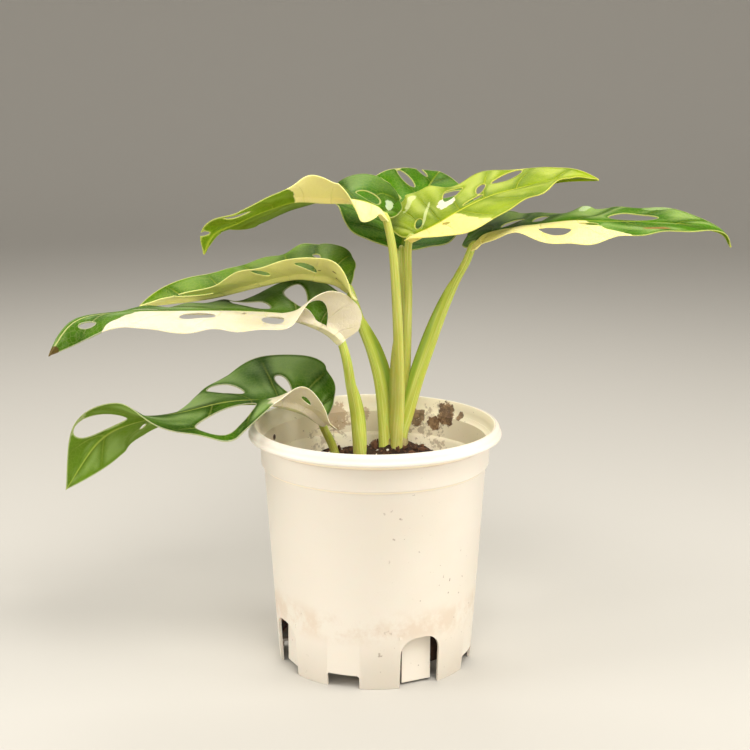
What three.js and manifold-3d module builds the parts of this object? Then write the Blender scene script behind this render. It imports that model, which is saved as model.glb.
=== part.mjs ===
// A potted variegated swiss cheese vine: seven bent, perforated leaves on sheathed leaf stalks that
// rise from one short crown in a slotted white nursery pot filled with coarse potting mix.
//
// Units are millimetres and +Z is up. While the plant is laid out, the pot's axis is the Z axis and
// its feet stand on z = 0; -Y is the front. At the end the whole group is shifted so that the origin
// lies under the middle of the plant's own box, on the surface it stands on.
import * as THREE from "three";
import { mergeVertices } from "three/addons/utils/BufferGeometryUtils.js";
import Module from "manifold-3d";

const wasm = await Module();
wasm.setup();

// Clearance kept between solids that touch
const GAP = 0.3;

// Pot
const POT_SIDES = 40;
const RIM_RADIUS = 62.5;
const RIM_TOP = 120.7;
const COLLAR_RADIUS = 56.8;
const STEP_HEIGHT = 100.2;
const FOOT_RADIUS = 48.4;
const STEP_RADIUS = 54.9;
const POT_WALL = 1.4;
const FLOOR_UNDERSIDE = 6.5;
const FLOOR_THICKNESS = 1.5;
// Around the foot: angles are measured from the front (-Y) towards +X, in degrees
const PATTERN_REPEATS = 4;
const ARCH_ANGLE = 26.5;
const ARCH_WIDTH = 20.8;
const ARCH_HEIGHT = 25.6;
const ARCH_CORNER = 8;
const NOTCH_ANGLE = 71.4;
const NOTCH_WIDTH = 16.6;
const NOTCH_HEIGHT = 7;
const NOTCH_CORNER = 1.5;
const PANEL_RADIUS = 44.6;
const PANEL_WIDTH = 15.4;
const PANEL_LIFT = 1.5;
const SHELF_THICKNESS = 1.6;
const DRAIN_RADIUS = 3;
const DRAIN_CIRCLE = 24;

// Potting mix
const CROWN = new THREE.Vector3(10, 29, 104);
const SOIL_EDGE = 94;
const SOIL_MOUND = 10;
const SOIL_SPREAD = 16;
const SOIL_SIDES = 20;
const SOIL_RINGS = 5;
const CRUMB_COUNT = 12;

// Leaf blades
const BLADE_THICKNESS = 0.8;
const RIB_HALF_WIDTH = 2.2;
const RIB_DEPTH = 2.6;
const WAVE_HEIGHT = 0.8;
const WAVE_LENGTH = 23;
const HOLE_SIDES = 8;
const STALK_SIDES = 8;
// The last stretch of a stalk runs straight into its midrib
const STALK_NECK = 3;
// Fractions of the midrib at which a leaf states how far each half is lifted out of level
const LIFT_STATIONS = [0, 0.12, 0.24, 0.4, 0.6, 0.8, 1];

// Outlines of half a blade: [basal lobe lengths, leaf lengths, half widths], from base to tip
const BROAD_HALF = [
  [0, 0, 0], [-0.62, 0, 0.14], [-1, 0, 0.42], [-0.75, 0, 0.74], [0, 0.1, 0.95], [0, 0.26, 1],
  [0, 0.44, 0.93], [0, 0.62, 0.74], [0, 0.78, 0.47], [0, 0.9, 0.21], [0, 1, 0],
];
const LATE_HALF = [
  [0, 0, 0], [-0.5, 0, 0.1], [-0.9, 0, 0.28], [-0.3, 0.03, 0.45], [0, 0.12, 0.6], [0, 0.26, 0.8],
  [0, 0.44, 1], [0, 0.62, 0.9], [0, 0.78, 0.6], [0, 0.9, 0.28], [0, 1, 0],
];
const NARROW_BASE_HALF = [
  [0, 0, 0], [-0.3, 0, 0.12], [-0.3, 0, 0.3], [0, 0.06, 0.48], [0, 0.14, 0.62], [0, 0.26, 0.88],
  [0, 0.44, 1], [0, 0.62, 0.85], [0, 0.78, 0.55], [0, 0.9, 0.25], [0, 1, 0],
];

// Each leaf: its midrib from stalk to tip, the level direction of its first half, the two halves,
// and its holes as [half, along, across, half length, half width, turn in degrees]. A stalk is its
// path from the soil to just below the blade, its radii, and where its sheath stands out.
const LEAVES = [
  {
    name: "low_left",
    midrib: [[-27, 10, 119], [-34, 6, 125], [-45, 1, 130], [-57, -5, 133], [-73, -13, 134],
      [-94, -22, 131], [-115, -24, 128], [-132, -27, 119], [-149, -27, 94]],
    firstSide: [0, -1, 0],
    lobe: 7,
    first: { outline: LATE_HALF, width: 27, lift: [20, 54, 15, -30, 8, 68, 64] },
    second: { outline: BROAD_HALF, width: 41, lift: [29, 22, 4, -8, -21, -51, -100] },
    holes: [["first", 58, 13, 17, 7.4, 20], ["first", 15, 8, 3.4, 1.4, 26], ["first", 113, 7.5, 11, 5.4, 18],
      ["second", 45, 24, 13.5, 4.6, 70], ["second", 20, 16, 7, 2.4, 76], ["second", 98, 14, 3, 1.3, 64]],
    stalk: { path: [[-19.5, 29, 91], [-21, 27, 98.9], [-23, 24, 105.1], [-25, 20, 110.5], [-26.4, 14, 115.6]],
      radii: [2.3, 1.9], sheath: null },
  },
  {
    name: "white_left",
    midrib: [[-16.5, 3, 160.5], [-23.5, 2, 167], [-34, -1, 172.5], [-46, -4, 176], [-65, -11, 178.5],
      [-93, -19, 180], [-121, -26, 180.5], [-140, -33, 177.5], [-152.5, -37, 162]],
    firstSide: [0, -1, 0],
    lobe: 2,
    first: { outline: LATE_HALF, width: 39, lift: [90, 60, 4, -2, -4, -11, -90] },
    second: { outline: BROAD_HALF, width: 44, lift: [16, 20, -2, -6, -8, -10, 25] },
    holes: [["first", 19, 9, 13, 3.6, 52], ["first", 43, 16, 7.5, 5.4, 65], ["first", 54, 5, 2.8, 1, 63],
      ["first", 77, 10, 9, 6.2, 17], ["first", 130, 7, 4.8, 2.2, 137],
      ["second", 42, 27, 17, 5.5, 75], ["second", 24, 23, 12, 4.4, 82], ["second", 100, 15, 8, 3, 40]],
    stalk: { path: [[-6.9, 22, 91], [-7.9, 20, 100.9], [-9.6, 17, 120.3], [-12.2, 10, 138], [-13.9, 5, 150.5]],
      radii: [3.4, 2.1], sheath: { side: [1, 0.3, 0], from: 0.1, to: 0.62, width: 1.6 } },
  },
  {
    name: "mid_left",
    midrib: [[-13, 20, 184.3], [-19, 19, 188.3], [-28, 18, 190.3], [-39, 18, 191.3], [-56, 20, 187.3],
      [-80, 24, 180.3], [-98, 30, 176.3], [-120, 37, 172.3]],
    firstSide: [0, -1, 0],
    lobe: 2,
    first: { outline: BROAD_HALF, width: 29, lift: [1, 28, 23, 23, 19, 22, 22] },
    second: { outline: BROAD_HALF, width: 45, lift: [15, 14, 10, 8, 11, 25, 60] },
    holes: [["first", 22, 14, 9, 2.2, 66], ["first", 41, 17, 8.4, 2.5, 75], ["first", 77, 11, 9.5, 3.4, 30],
      ["second", 18, 27, 4, 2, 60], ["second", 36, 14, 8, 3, 65], ["second", 55, 12, 7, 3, 55]],
    stalk: { path: [[5.6, 25, 91], [5.3, 26, 103.7], [4.1, 27, 121.7], [2, 26, 137.1], [-2, 24, 152.3],
      [-6.5, 22, 164.5], [-10.4, 21, 176.8]],
      radii: [3.7, 2], sheath: { side: [1, -0.3, 0], from: 0.12, to: 0.8, width: 4 } },
  },
  {
    name: "top_left",
    midrib: [[5, -3, 223], [1, -3, 228], [-10, -5, 231.5], [-24, -8, 232], [-38, -15.5, 233],
      [-52.5, -27, 229.5], [-64, -37, 225], [-74, -40, 220], [-79, -37, 210]],
    firstSide: [0, -1, 0],
    lobe: 5,
    first: { outline: NARROW_BASE_HALF, width: 23, lift: [0, -36, 16, 29, 20, 24, 86] },
    second: { outline: BROAD_HALF, width: 47, lift: [12, 8, -6, -22, -13, -8, -21] },
    holes: [["second", 10, 10, 9, 4.2, 75], ["first", 83, 7, 6, 1.8, 15], ["first", 97, 3.5, 2.4, 1, 60]],
    stalk: { path: [[10.6, 23, 91], [11.2, 22, 107.7], [12.1, 20, 127], [11.7, 12, 154.6], [10.8, 6, 175.9],
      [9.2, 0, 200.6], [7.7, -2, 211.6]],
      radii: [3.2, 1.9], sheath: { side: [-1, 0.5, 0], from: 0.1, to: 0.5, width: 2.4 } },
  },
  {
    name: "top_right",
    midrib: [[17, 9.5, 211], [24, 9.5, 214.5], [31, 10.5, 218], [41.5, 12.5, 224], [55, 16, 230],
      [71, 20, 234], [91, 25, 237.5], [111, 29, 237.5]],
    firstSide: [0, -1, 0],
    lobe: 7,
    first: { outline: NARROW_BASE_HALF, width: 37, lift: [7, -7, -13, -6, 0, 10, 9] },
    second: { outline: BROAD_HALF, width: 43, lift: [20, 21, 17, 11, 13, 14, 38] },
    holes: [["second", 7, 9, 5, 2.4, 72], ["second", 33, 25, 11, 4, 52], ["second", 45, 15, 6, 2.1, 61],
      ["second", 61, 21, 10.4, 3.8, 26], ["second", 37, 5, 6, 1.7, 15], ["first", 18, 6, 3, 1.3, 66]],
    stalk: { path: [[11.6, 31, 91], [12.1, 30, 105.6], [14.8, 29, 124.9], [15.9, 24, 152], [16.4, 18, 178.7],
      [16.2, 13, 194.6], [16.1, 10, 203.9]],
      radii: [2.9, 1.8], sheath: null },
  },
  {
    name: "far_right",
    midrib: [[48, 12, 207], [53, 12, 212], [61, 9, 215], [76, 4, 218], [94, -2, 221], [106, -5, 221],
      [126, -8, 221], [149, -11, 220], [164, -13, 217], [169, -14, 210]],
    firstSide: [0, -1, 0],
    lobe: 5,
    first: { outline: NARROW_BASE_HALF, width: 32, lift: [-2, -3, 3, -12, -6, -4, 2] },
    second: { outline: BROAD_HALF, width: 42, lift: [1, 0, -3, 1, 5, 13, 5] },
    holes: [["second", 18, 17, 12, 3.6, 80], ["second", 32, 19, 7.8, 2.9, 82], ["second", 81, 9, 12, 6.6, 172],
      ["first", 46, 14, 8.5, 5, 20], ["first", 60, 4.5, 4.8, 1.8, 8]],
    stalk: { path: [[13.4, 29, 91], [13.8, 28, 106.1], [16.9, 28, 117.2], [22.3, 26, 136.8], [27.2, 24, 152],
      [33.4, 20, 171.2], [39.6, 16, 187.9], [44.7, 13, 198.5]],
      radii: [3, 1.9], sheath: { side: [-1, -0.3, 0], from: 0.15, to: 0.82, width: 3.6 } },
  },
  {
    name: "back",
    midrib: [[13.5, 46, 199.5], [15, 58, 204.5], [18, 75, 211], [24, 100, 217.5], [32, 130, 226], [37, 151, 229]],
    firstSide: [-1, 0, 0],
    lobe: 4,
    first: { outline: BROAD_HALF, width: 39, lift: [26, 25, 13, 7, 14, 23, 20] },
    second: { outline: BROAD_HALF, width: 35, lift: [20, 20, 18, 12, 5, 0, 0] },
    holes: [["first", 60, 18, 9, 3.5, 60], ["first", 78, 13, 8, 3, 50], ["first", 96, 8, 6, 2.2, 40],
      ["second", 30, 16, 8, 3.5, 70], ["second", 50, 18, 9, 4, 60], ["second", 70, 14, 8, 3.5, 50]],
    stalk: { path: [[11, 37, 91], [11.4, 37, 103.7], [12.9, 39, 122.5], [14, 41, 148.6], [14.2, 42.5, 174.3],
      [14, 43, 189]],
      radii: [2.6, 1.8], sheath: null },
  },
];

const vector = ([x, y, z]) => new THREE.Vector3(x, y, z);
const radians = THREE.MathUtils.degToRad;
const clamp = THREE.MathUtils.clamp;
const blend = THREE.MathUtils.lerp;

function toSolid(geometry) {
  const bare = geometry.clone();
  bare.deleteAttribute("normal");
  bare.deleteAttribute("uv");
  const merged = mergeVertices(bare, 1e-5);
  const triangles = [];
  const index = merged.index.array;
  for (let i = 0; i < index.length; i += 3) {
    const [a, b, c] = index.slice(i, i + 3);
    if (a !== b && b !== c && c !== a) triangles.push(a, b, c);
  }
  return new wasm.Manifold(new wasm.Mesh({
    numProp: 3,
    vertProperties: new Float32Array(merged.attributes.position.array),
    triVerts: new Uint32Array(triangles),
  }));
}

function toGeometry(solid) {
  const mesh = solid.getMesh();
  const geometry = new THREE.BufferGeometry();
  geometry.setAttribute("position", new THREE.BufferAttribute(new Float32Array(mesh.vertProperties), 3));
  geometry.setIndex(new THREE.BufferAttribute(new Uint32Array(mesh.triVerts), 1));
  const flat = geometry.toNonIndexed();
  flat.computeVertexNormals();
  return flat;
}

function largestPiece(solid) {
  const pieces = solid.decompose();
  return pieces.reduce((best, piece) => (piece.volume() > best.volume() ? piece : best));
}

const facing = (degrees) => new THREE.Matrix4().makeRotationZ(radians(degrees));

// A closed skin over rows of points: each row is a ring, and the first and last rows are capped
function skin(rows) {
  const count = rows[0].length;
  const points = rows.flat();
  const first = points.push(centreOf(rows[0])) - 1;
  const last = points.push(centreOf(rows.at(-1))) - 1;
  const index = [];
  for (let r = 0; r + 1 < rows.length; r += 1) {
    for (let i = 0; i < count; i += 1) {
      const a = r * count + i;
      const b = r * count + ((i + 1) % count);
      index.push(a, b, b + count, a, b + count, a + count);
    }
  }
  for (let i = 0; i < count; i += 1) {
    const next = (i + 1) % count;
    const top = (rows.length - 1) * count;
    index.push(first, next, i, last, top + i, top + next);
  }
  const geometry = new THREE.BufferGeometry().setFromPoints(points);
  geometry.setIndex(index);
  return geometry;
}

function centreOf(points) {
  return points.reduce((sum, point) => sum.add(point), new THREE.Vector3()).divideScalar(points.length);
}

function splineThrough(points) {
  return new THREE.CatmullRomCurve3(points.map(vector), false, "catmullrom", 0.5);
}

// Smooth value between stations, with level ends
function valueAt(values, t) {
  const at = LIFT_STATIONS;
  const i = clamp(at.findIndex((station) => station > t) - 1, 0, at.length - 2);
  const k = t >= 1 ? at.length - 2 : i;
  const slope = (j) => (j === 0 || j === at.length - 1
    ? 0 : (values[j + 1] - values[j - 1]) / (at[j + 1] - at[j - 1]));
  const span = at[k + 1] - at[k];
  const u = (t - at[k]) / span;
  return (2 * u ** 3 - 3 * u * u + 1) * values[k] + (u ** 3 - 2 * u * u + u) * span * slope(k)
    + (3 * u * u - 2 * u ** 3) * values[k + 1] + (u ** 3 - u * u) * span * slope(k + 1);
}

// Bends flat leaf coordinates (along the midrib, signed distance across it) into space
class Bend {
  constructor(leaf) {
    this.leaf = leaf;
    this.curve = splineThrough(leaf.midrib);
    this.curve.arcLengthDivisions = 400;
    this.length = this.curve.getLength();
    const start = this.frameAt(0);
    this.up = start.normal.z < 0 ? -1 : 1;
  }

  frameAt(along) {
    const u = clamp(along / this.length, 0, 1);
    const tangent = this.curve.getTangentAt(u);
    const origin = this.curve.getPointAt(u);
    origin.addScaledVector(tangent, along - u * this.length);
    const side = vector(this.leaf.firstSide);
    side.addScaledVector(tangent, -side.dot(tangent)).normalize();
    return { origin, side, normal: new THREE.Vector3().crossVectors(tangent, side) };
  }

  point(along, across) {
    const { origin, side, normal } = this.frameAt(along);
    const half = across >= 0 ? this.leaf.first : this.leaf.second;
    const t = clamp(along / this.length, 0, 1);
    const lift = radians(valueAt(half.lift, t));
    const reach = Math.abs(across) / half.width;
    const wave = WAVE_HEIGHT * reach * reach * Math.sin((2 * Math.PI * along) / WAVE_LENGTH);
    const level = Math.cos(lift) * across - Math.sin(lift) * wave * Math.sign(across);
    const raised = Math.sin(lift) * Math.abs(across) + Math.cos(lift) * wave;
    return origin.addScaledVector(side, level).addScaledVector(normal, raised * this.up);
  }

  surfaceNormal(along, across) {
    const step = 0.4;
    const a = this.point(along + step, across).sub(this.point(along - step, across));
    const b = this.point(along, across + step).sub(this.point(along, across - step));
    return a.cross(b).normalize().multiplyScalar(this.up);
  }
}

function halfOutline(leaf, half, length) {
  const points = half.outline.map(([lobes, lengths, widths]) => (
    [lobes * leaf.lobe + lengths * length, widths * half.width, 0]));
  return splineThrough(points).getPoints(2 * (points.length - 1));
}

// The flat grid of a blade: rows run from the midrib to the margin, as its side veins do
function bladeRows(leaf, length) {
  const outline = { first: halfOutline(leaf, leaf.first, length), second: halfOutline(leaf, leaf.second, length) };
  const rows = [];
  const count = outline.first.length - 1;
  for (let k = 1; k < count; k += 1) {
    const foot = length * (k / count) ** 2.2;
    const row = [];
    for (const [name, sign] of [["second", -1], ["first", 1]]) {
      const margin = outline[name][k];
      const reach = Math.hypot(margin.x - foot, margin.y);
      const steps = [Math.min(RIB_HALF_WIDTH / reach, 0.3), 0.55, 1];
      const side = steps.map((s) => [blend(foot, margin.x, s), sign * margin.y * s, s]);
      if (sign < 0) row.push(...side.reverse(), [foot, 0, 0]);
      else row.push(...side);
    }
    rows.push(row);
  }
  return rows;
}

function bladeSlab(leaf, bend) {
  const rows = bladeRows(leaf, bend.length);
  const columns = rows[0].length;
  const flat = [[0, 0, 0], ...rows.flat(), [bend.length, 0, 0]];
  const points = [];
  for (const under of [false, true]) {
    for (const [along, across, reach] of flat) {
      const normal = bend.surfaceNormal(along, across || 1e-3);
      const rib = under && reach === 0 ? RIB_DEPTH * (1 - 0.75 * clamp(along / bend.length, 0, 1)) : 0;
      const offset = under ? -BLADE_THICKNESS / 2 - rib : BLADE_THICKNESS / 2;
      points.push(bend.point(along, across).addScaledVector(normal, offset));
    }
  }
  const total = flat.length;
  const at = (row, column) => 1 + row * columns + column;
  const faces = [];
  const lastRow = rows.length - 1;
  for (let c = 0; c + 1 < columns; c += 1) {
    faces.push([0, at(0, c), at(0, c + 1)], [at(lastRow, c + 1), at(lastRow, c), total - 1]);
    for (let r = 0; r < lastRow; r += 1) {
      faces.push([at(r, c), at(r + 1, c), at(r + 1, c + 1)], [at(r, c), at(r + 1, c + 1), at(r, c + 1)]);
    }
  }
  const rim = [0];
  for (let r = 0; r <= lastRow; r += 1) rim.push(at(r, 0));
  rim.push(total - 1);
  for (let r = lastRow; r >= 0; r -= 1) rim.push(at(r, columns - 1));
  const index = [];
  for (const [a, b, c] of faces) index.push(a, b, c, a + total, c + total, b + total);
  rim.forEach((a, i) => {
    const b = rim[(i + 1) % rim.length];
    index.push(a, a + total, b + total, a, b + total, b);
  });
  if (bend.up < 0) for (let i = 0; i < index.length; i += 3) [index[i], index[i + 1]] = [index[i + 1], index[i]];
  const geometry = new THREE.BufferGeometry().setFromPoints(points);
  geometry.setIndex(index);
  return toSolid(geometry);
}

function holePlug(bend, [half, along, across, length, width, turn]) {
  const sign = half === "first" ? 1 : -1;
  const depth = 3;
  const ring = (height) => Array.from({ length: HOLE_SIDES }, (_, i) => {
    const angle = (2 * Math.PI * i) / HOLE_SIDES;
    const x = length * Math.cos(angle);
    const y = width * Math.sin(angle);
    const c = Math.cos(radians(turn));
    const s = Math.sin(radians(turn));
    const place = [along + x * c - y * s, sign * Math.max(across + x * s + y * c, 0.8)];
    const normal = bend.surfaceNormal(...place);
    return bend.point(...place).addScaledVector(normal, height);
  });
  const solid = toSolid(skin([ring(-depth), ring(depth)]));
  return solid.volume() > 0 ? solid : toSolid(skin([ring(depth), ring(-depth)]));
}

// A stalk: a tapering tube along its path, drawn out on one side where its sheath stands
function stalkSkin(leaf, bend, swell, beyond) {
  const { path, radii, sheath } = leaf.stalk;
  const end = bend.frameAt(0);
  const tangent = bend.curve.getTangentAt(0);
  const approach = end.origin.clone().addScaledVector(tangent, -STALK_NECK);
  const finish = end.origin.addScaledVector(tangent, beyond - GAP);
  const curve = splineThrough([...path, approach.toArray(), finish.toArray()]);
  const steps = 2 * path.length + 2;
  const rows = [];
  for (let k = 0; k <= steps; k += 1) {
    const u = k / steps;
    const centre = curve.getPointAt(u);
    const along = k === steps ? tangent : curve.getTangentAt(u);
    const across = vector(sheath ? sheath.side : [0, 1, 0]);
    across.addScaledVector(along, -across.dot(along)).normalize();
    const third = new THREE.Vector3().crossVectors(along, across);
    const radius = blend(radii[0], radii[1], u) + swell;
    const ring = [];
    for (let i = 0; i < STALK_SIDES; i += 1) {
      const angle = (2 * Math.PI * i) / STALK_SIDES;
      const open = sheath ? sheathAt(sheath, u) * Math.max(Math.cos(angle), 0) ** 8 : 0;
      const point = centre.clone().addScaledVector(across, (radius + open) * Math.cos(angle));
      ring.push(point.addScaledVector(third, radius * Math.sin(angle)));
    }
    rows.push(ring);
  }
  return toSolid(skin(rows));
}

function sheathAt(sheath, u) {
  if (u <= sheath.from || u >= sheath.to) return 0;
  const t = (u - sheath.from) / (sheath.to - sheath.from);
  return sheath.width * Math.sin(Math.PI * t) ** 0.7;
}

function potSolid() {
  const inset = POT_WALL;
  const collarFoot = STEP_HEIGHT + 1.3;
  const profile = [
    [FOOT_RADIUS, 0], [50.3, 28], [STEP_RADIUS, STEP_HEIGHT], [COLLAR_RADIUS - 0.4, collarFoot],
    [COLLAR_RADIUS, 114.4], [RIM_RADIUS - 0.3, 115.1], [RIM_RADIUS, 116.3], [61.8, 117.3], [61.4, 119.3],
    [60.7, 120.4], [59.8, RIM_TOP], [58.9, 120.3], [58.3, 119], [57.3, 114.6], [COLLAR_RADIUS - inset, 112.6],
    [COLLAR_RADIUS - 0.4 - inset, collarFoot], [STEP_RADIUS - inset, STEP_HEIGHT - 0.6],
    [50.3 - inset, 28], [FOOT_RADIUS - inset, 0], [FOOT_RADIUS, 0],
  ].map(([r, z]) => new THREE.Vector2(r, z));
  let pot = toSolid(upright(new THREE.LatheGeometry(profile, POT_SIDES)));
  const floorRadius = FOOT_RADIUS - inset / 2 + 0.5;
  pot = pot.add(toSolid(disc(floorRadius, FLOOR_UNDERSIDE, FLOOR_THICKNESS, POT_SIDES)));
  for (let k = 0; k < PATTERN_REPEATS; k += 1) {
    const turn = (360 / PATTERN_REPEATS) * k;
    const arch = outwardPrism(roundTopped(ARCH_WIDTH, -1, ARCH_HEIGHT, ARCH_CORNER), PANEL_RADIUS + 0.1, RIM_RADIUS);
    const notch = outwardPrism(roundTopped(NOTCH_WIDTH, -1, NOTCH_HEIGHT, NOTCH_CORNER), PANEL_RADIUS, RIM_RADIUS);
    pot = pot.subtract(toSolid(arch.applyMatrix4(facing(ARCH_ANGLE + turn))));
    pot = pot.subtract(toSolid(notch.applyMatrix4(facing(NOTCH_ANGLE + turn))));
  }
  for (let k = 0; k < PATTERN_REPEATS; k += 1) {
    const turn = facing(ARCH_ANGLE + (360 / PATTERN_REPEATS) * k);
    const inner = PANEL_RADIUS - POT_WALL;
    const panel = outwardPrism(
      roundTopped(PANEL_WIDTH, PANEL_LIFT, ARCH_HEIGHT + SHELF_THICKNESS, 0.5), inner, PANEL_RADIUS);
    const shelf = outwardPrism(
      roundTopped(ARCH_WIDTH + 1, ARCH_HEIGHT, ARCH_HEIGHT + SHELF_THICKNESS, 0.1), inner, 49.2);
    pot = pot.add(toSolid(panel.applyMatrix4(turn))).add(toSolid(shelf.applyMatrix4(turn)));
    const drain = disc(DRAIN_RADIUS, FLOOR_UNDERSIDE - 1, FLOOR_THICKNESS + 2, 12);
    drain.translate(0, -DRAIN_CIRCLE, 0).applyMatrix4(turn);
    pot = pot.subtract(toSolid(drain));
  }
  return largestPiece(pot);
}

// Lathe and cylinder geometries stand along Y: turn them to stand along Z
function upright(geometry) {
  return geometry.rotateX(Math.PI / 2);
}

function disc(radius, bottom, thickness, sides) {
  return upright(new THREE.CylinderGeometry(radius, radius, thickness, sides))
    .translate(0, 0, bottom + thickness / 2);
}

function roundTopped(width, bottom, top, corner) {
  const half = width / 2;
  const shape = new THREE.Shape();
  shape.moveTo(-half, bottom);
  shape.lineTo(half, bottom);
  shape.lineTo(half, top - corner);
  shape.absarc(half - corner, top - corner, corner, 0, Math.PI / 2, false);
  shape.lineTo(corner - half, top);
  shape.absarc(corner - half, top - corner, corner, Math.PI / 2, Math.PI, false);
  return shape;
}

// A flat outline stood upright at the front of the pot and drawn out from one radius to another
function outwardPrism(shape, from, to) {
  return new THREE.ExtrudeGeometry(shape, { depth: to - from, bevelEnabled: false, curveSegments: 4 })
    .rotateX(Math.PI / 2)
    .translate(0, -from, 0);
}

// Repeatable random numbers between 0 and 1
function makeRandom(seed) {
  let state = seed;
  return () => {
    state = (state * 1664525 + 1013904223) % 4294967296;
    return state / 4294967296;
  };
}

function soilHeight(x, y) {
  const distance = Math.hypot(x - CROWN.x, y - CROWN.y);
  const mound = SOIL_MOUND * Math.exp(-((distance / SOIL_SPREAD) ** 2));
  return SOIL_EDGE + mound + 0.7 * Math.sin(x / 3.1) * Math.cos(y / 4.3);
}

function soilSolid() {
  const wallRadius = (z) => blend(FOOT_RADIUS, STEP_RADIUS, z / STEP_HEIGHT) - POT_WALL - GAP - 0.35;
  const low = PANEL_RADIUS - POT_WALL - GAP;
  const shelfTop = ARCH_HEIGHT + SHELF_THICKNESS + GAP;
  const floorTop = FLOOR_UNDERSIDE + FLOOR_THICKNESS + GAP;
  const ring = (radius, height) => Array.from({ length: SOIL_SIDES }, (_, i) => {
    const angle = (2 * Math.PI * i) / SOIL_SIDES;
    const x = radius * Math.cos(angle);
    const y = radius * Math.sin(angle);
    return new THREE.Vector3(x, y, height ?? soilHeight(x, y));
  });
  const rows = [ring(low, floorTop), ring(low, shelfTop), ring(wallRadius(shelfTop), shelfTop)];
  for (let r = 0; r < SOIL_RINGS; r += 1) rows.push(ring(wallRadius(SOIL_EDGE) * (1 - r / SOIL_RINGS)));
  let soil = toSolid(skin(rows));
  const random = makeRandom(7);
  for (let i = 0; i < CRUMB_COUNT; i += 1) {
    const angle = 2 * Math.PI * random();
    const radius = 47 * Math.sqrt(random());
    const size = 1.3 + 1.5 * random();
    const x = radius * Math.cos(angle);
    const y = radius * Math.sin(angle);
    const crumb = new THREE.IcosahedronGeometry(size, 0)
      .rotateX(3 * random())
      .rotateY(3 * random())
      .translate(x, y, soilHeight(x, y) + 0.1 * size);
    soil = soil.add(toSolid(crumb));
  }
  return soil;
}

function crownSolid() {
  const ring = (radius, height, lean) => Array.from({ length: 12 }, (_, i) => {
    const angle = (2 * Math.PI * i) / 12;
    return new THREE.Vector3(CROWN.x + lean + radius * Math.cos(angle), CROWN.y + radius * Math.sin(angle), height);
  });
  return toSolid(skin([ring(4, 76, -2), ring(6.5, 84, -1), ring(7.5, 95, 0), ring(7, 104, 0), ring(5, 108.5, 0)]));
}

const part = new THREE.Group();

function addMesh(name, solid, colour, roughness) {
  const material = new THREE.MeshStandardMaterial({ color: colour, roughness, metalness: 0 });
  const mesh = new THREE.Mesh(toGeometry(solid), material);
  mesh.name = name;
  part.add(mesh);
}

const COLOURS = {
  pot: 0xe9e4d6,
  soil: 0x3a2a20,
  stalk: 0xa9b653,
  stem: 0xc3c584,
  low_left: 0x3f7a35,
  white_left: 0xe6e3bd,
  mid_left: 0xcfd07c,
  top_left: 0xd9dd9a,
  top_right: 0x9dbb3c,
  far_right: 0xb9c873,
  back: 0x2f6b26,
};

addMesh("pot", potSolid(), COLOURS.pot, 0.45);

let soil = soilSolid();
const placed = [];
const bends = new Map(LEAVES.map((leaf) => [leaf.name, new Bend(leaf)]));
const order = ["top_left", "mid_left", "far_right", "top_right", "back", "white_left", "low_left"];
for (const name of order) {
  const leaf = LEAVES.find((entry) => entry.name === name);
  const bend = bends.get(name);
  let stalk = stalkSkin(leaf, bend, 0, 0);
  for (const other of placed) stalk = stalk.subtract(other);
  stalk = largestPiece(stalk);
  const sleeve = stalkSkin(leaf, bend, GAP, GAP);
  placed.push(sleeve);
  soil = soil.subtract(sleeve);
  let blade = bladeSlab(leaf, bend);
  for (const hole of leaf.holes) blade = blade.subtract(holePlug(bend, hole));
  for (const other of placed) blade = blade.subtract(other);
  addMesh(`stalk_${name}`, stalk, COLOURS.stalk, 0.45);
  addMesh(`leaf_${name}`, largestPiece(blade), COLOURS[name], 0.35);
}

let crown = crownSolid();
soil = soil.subtract(crown.add(crown.translate([0, 0, GAP])));
for (const sleeve of placed) crown = crown.subtract(sleeve);
addMesh("crown", largestPiece(crown), COLOURS.stem, 0.5);
addMesh("soil", largestPiece(soil), COLOURS.soil, 0.95);

// The natural origin is on the table, under the middle of the whole plant's box
const box = new THREE.Box3().setFromObject(part);
const middle = box.getCenter(new THREE.Vector3());
part.position.set(-middle.x, -middle.y, -box.min.z);

export default part;
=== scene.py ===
# %% [markdown]
# # A potted variegated swiss cheese vine
#
# The real thing is a young climbing plant in a white nursery pot: seven bent, perforated leaves,
# most of them half green and half cream, on long leaf stalks. The measured model of it is loaded
# first and stays fixed. The pieces made below take the place of its solids, with finer surfaces
# and real finishes. Sizes are written in millimetres, measured from the pot's axis and the level
# that it stands on, and turned into metres when a mesh is made.

# %% Load the fixed frame
import math

import bpy
import numpy as np
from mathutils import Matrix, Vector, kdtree, noise
from mathutils.geometry import delaunay_2d_cdt


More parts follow.
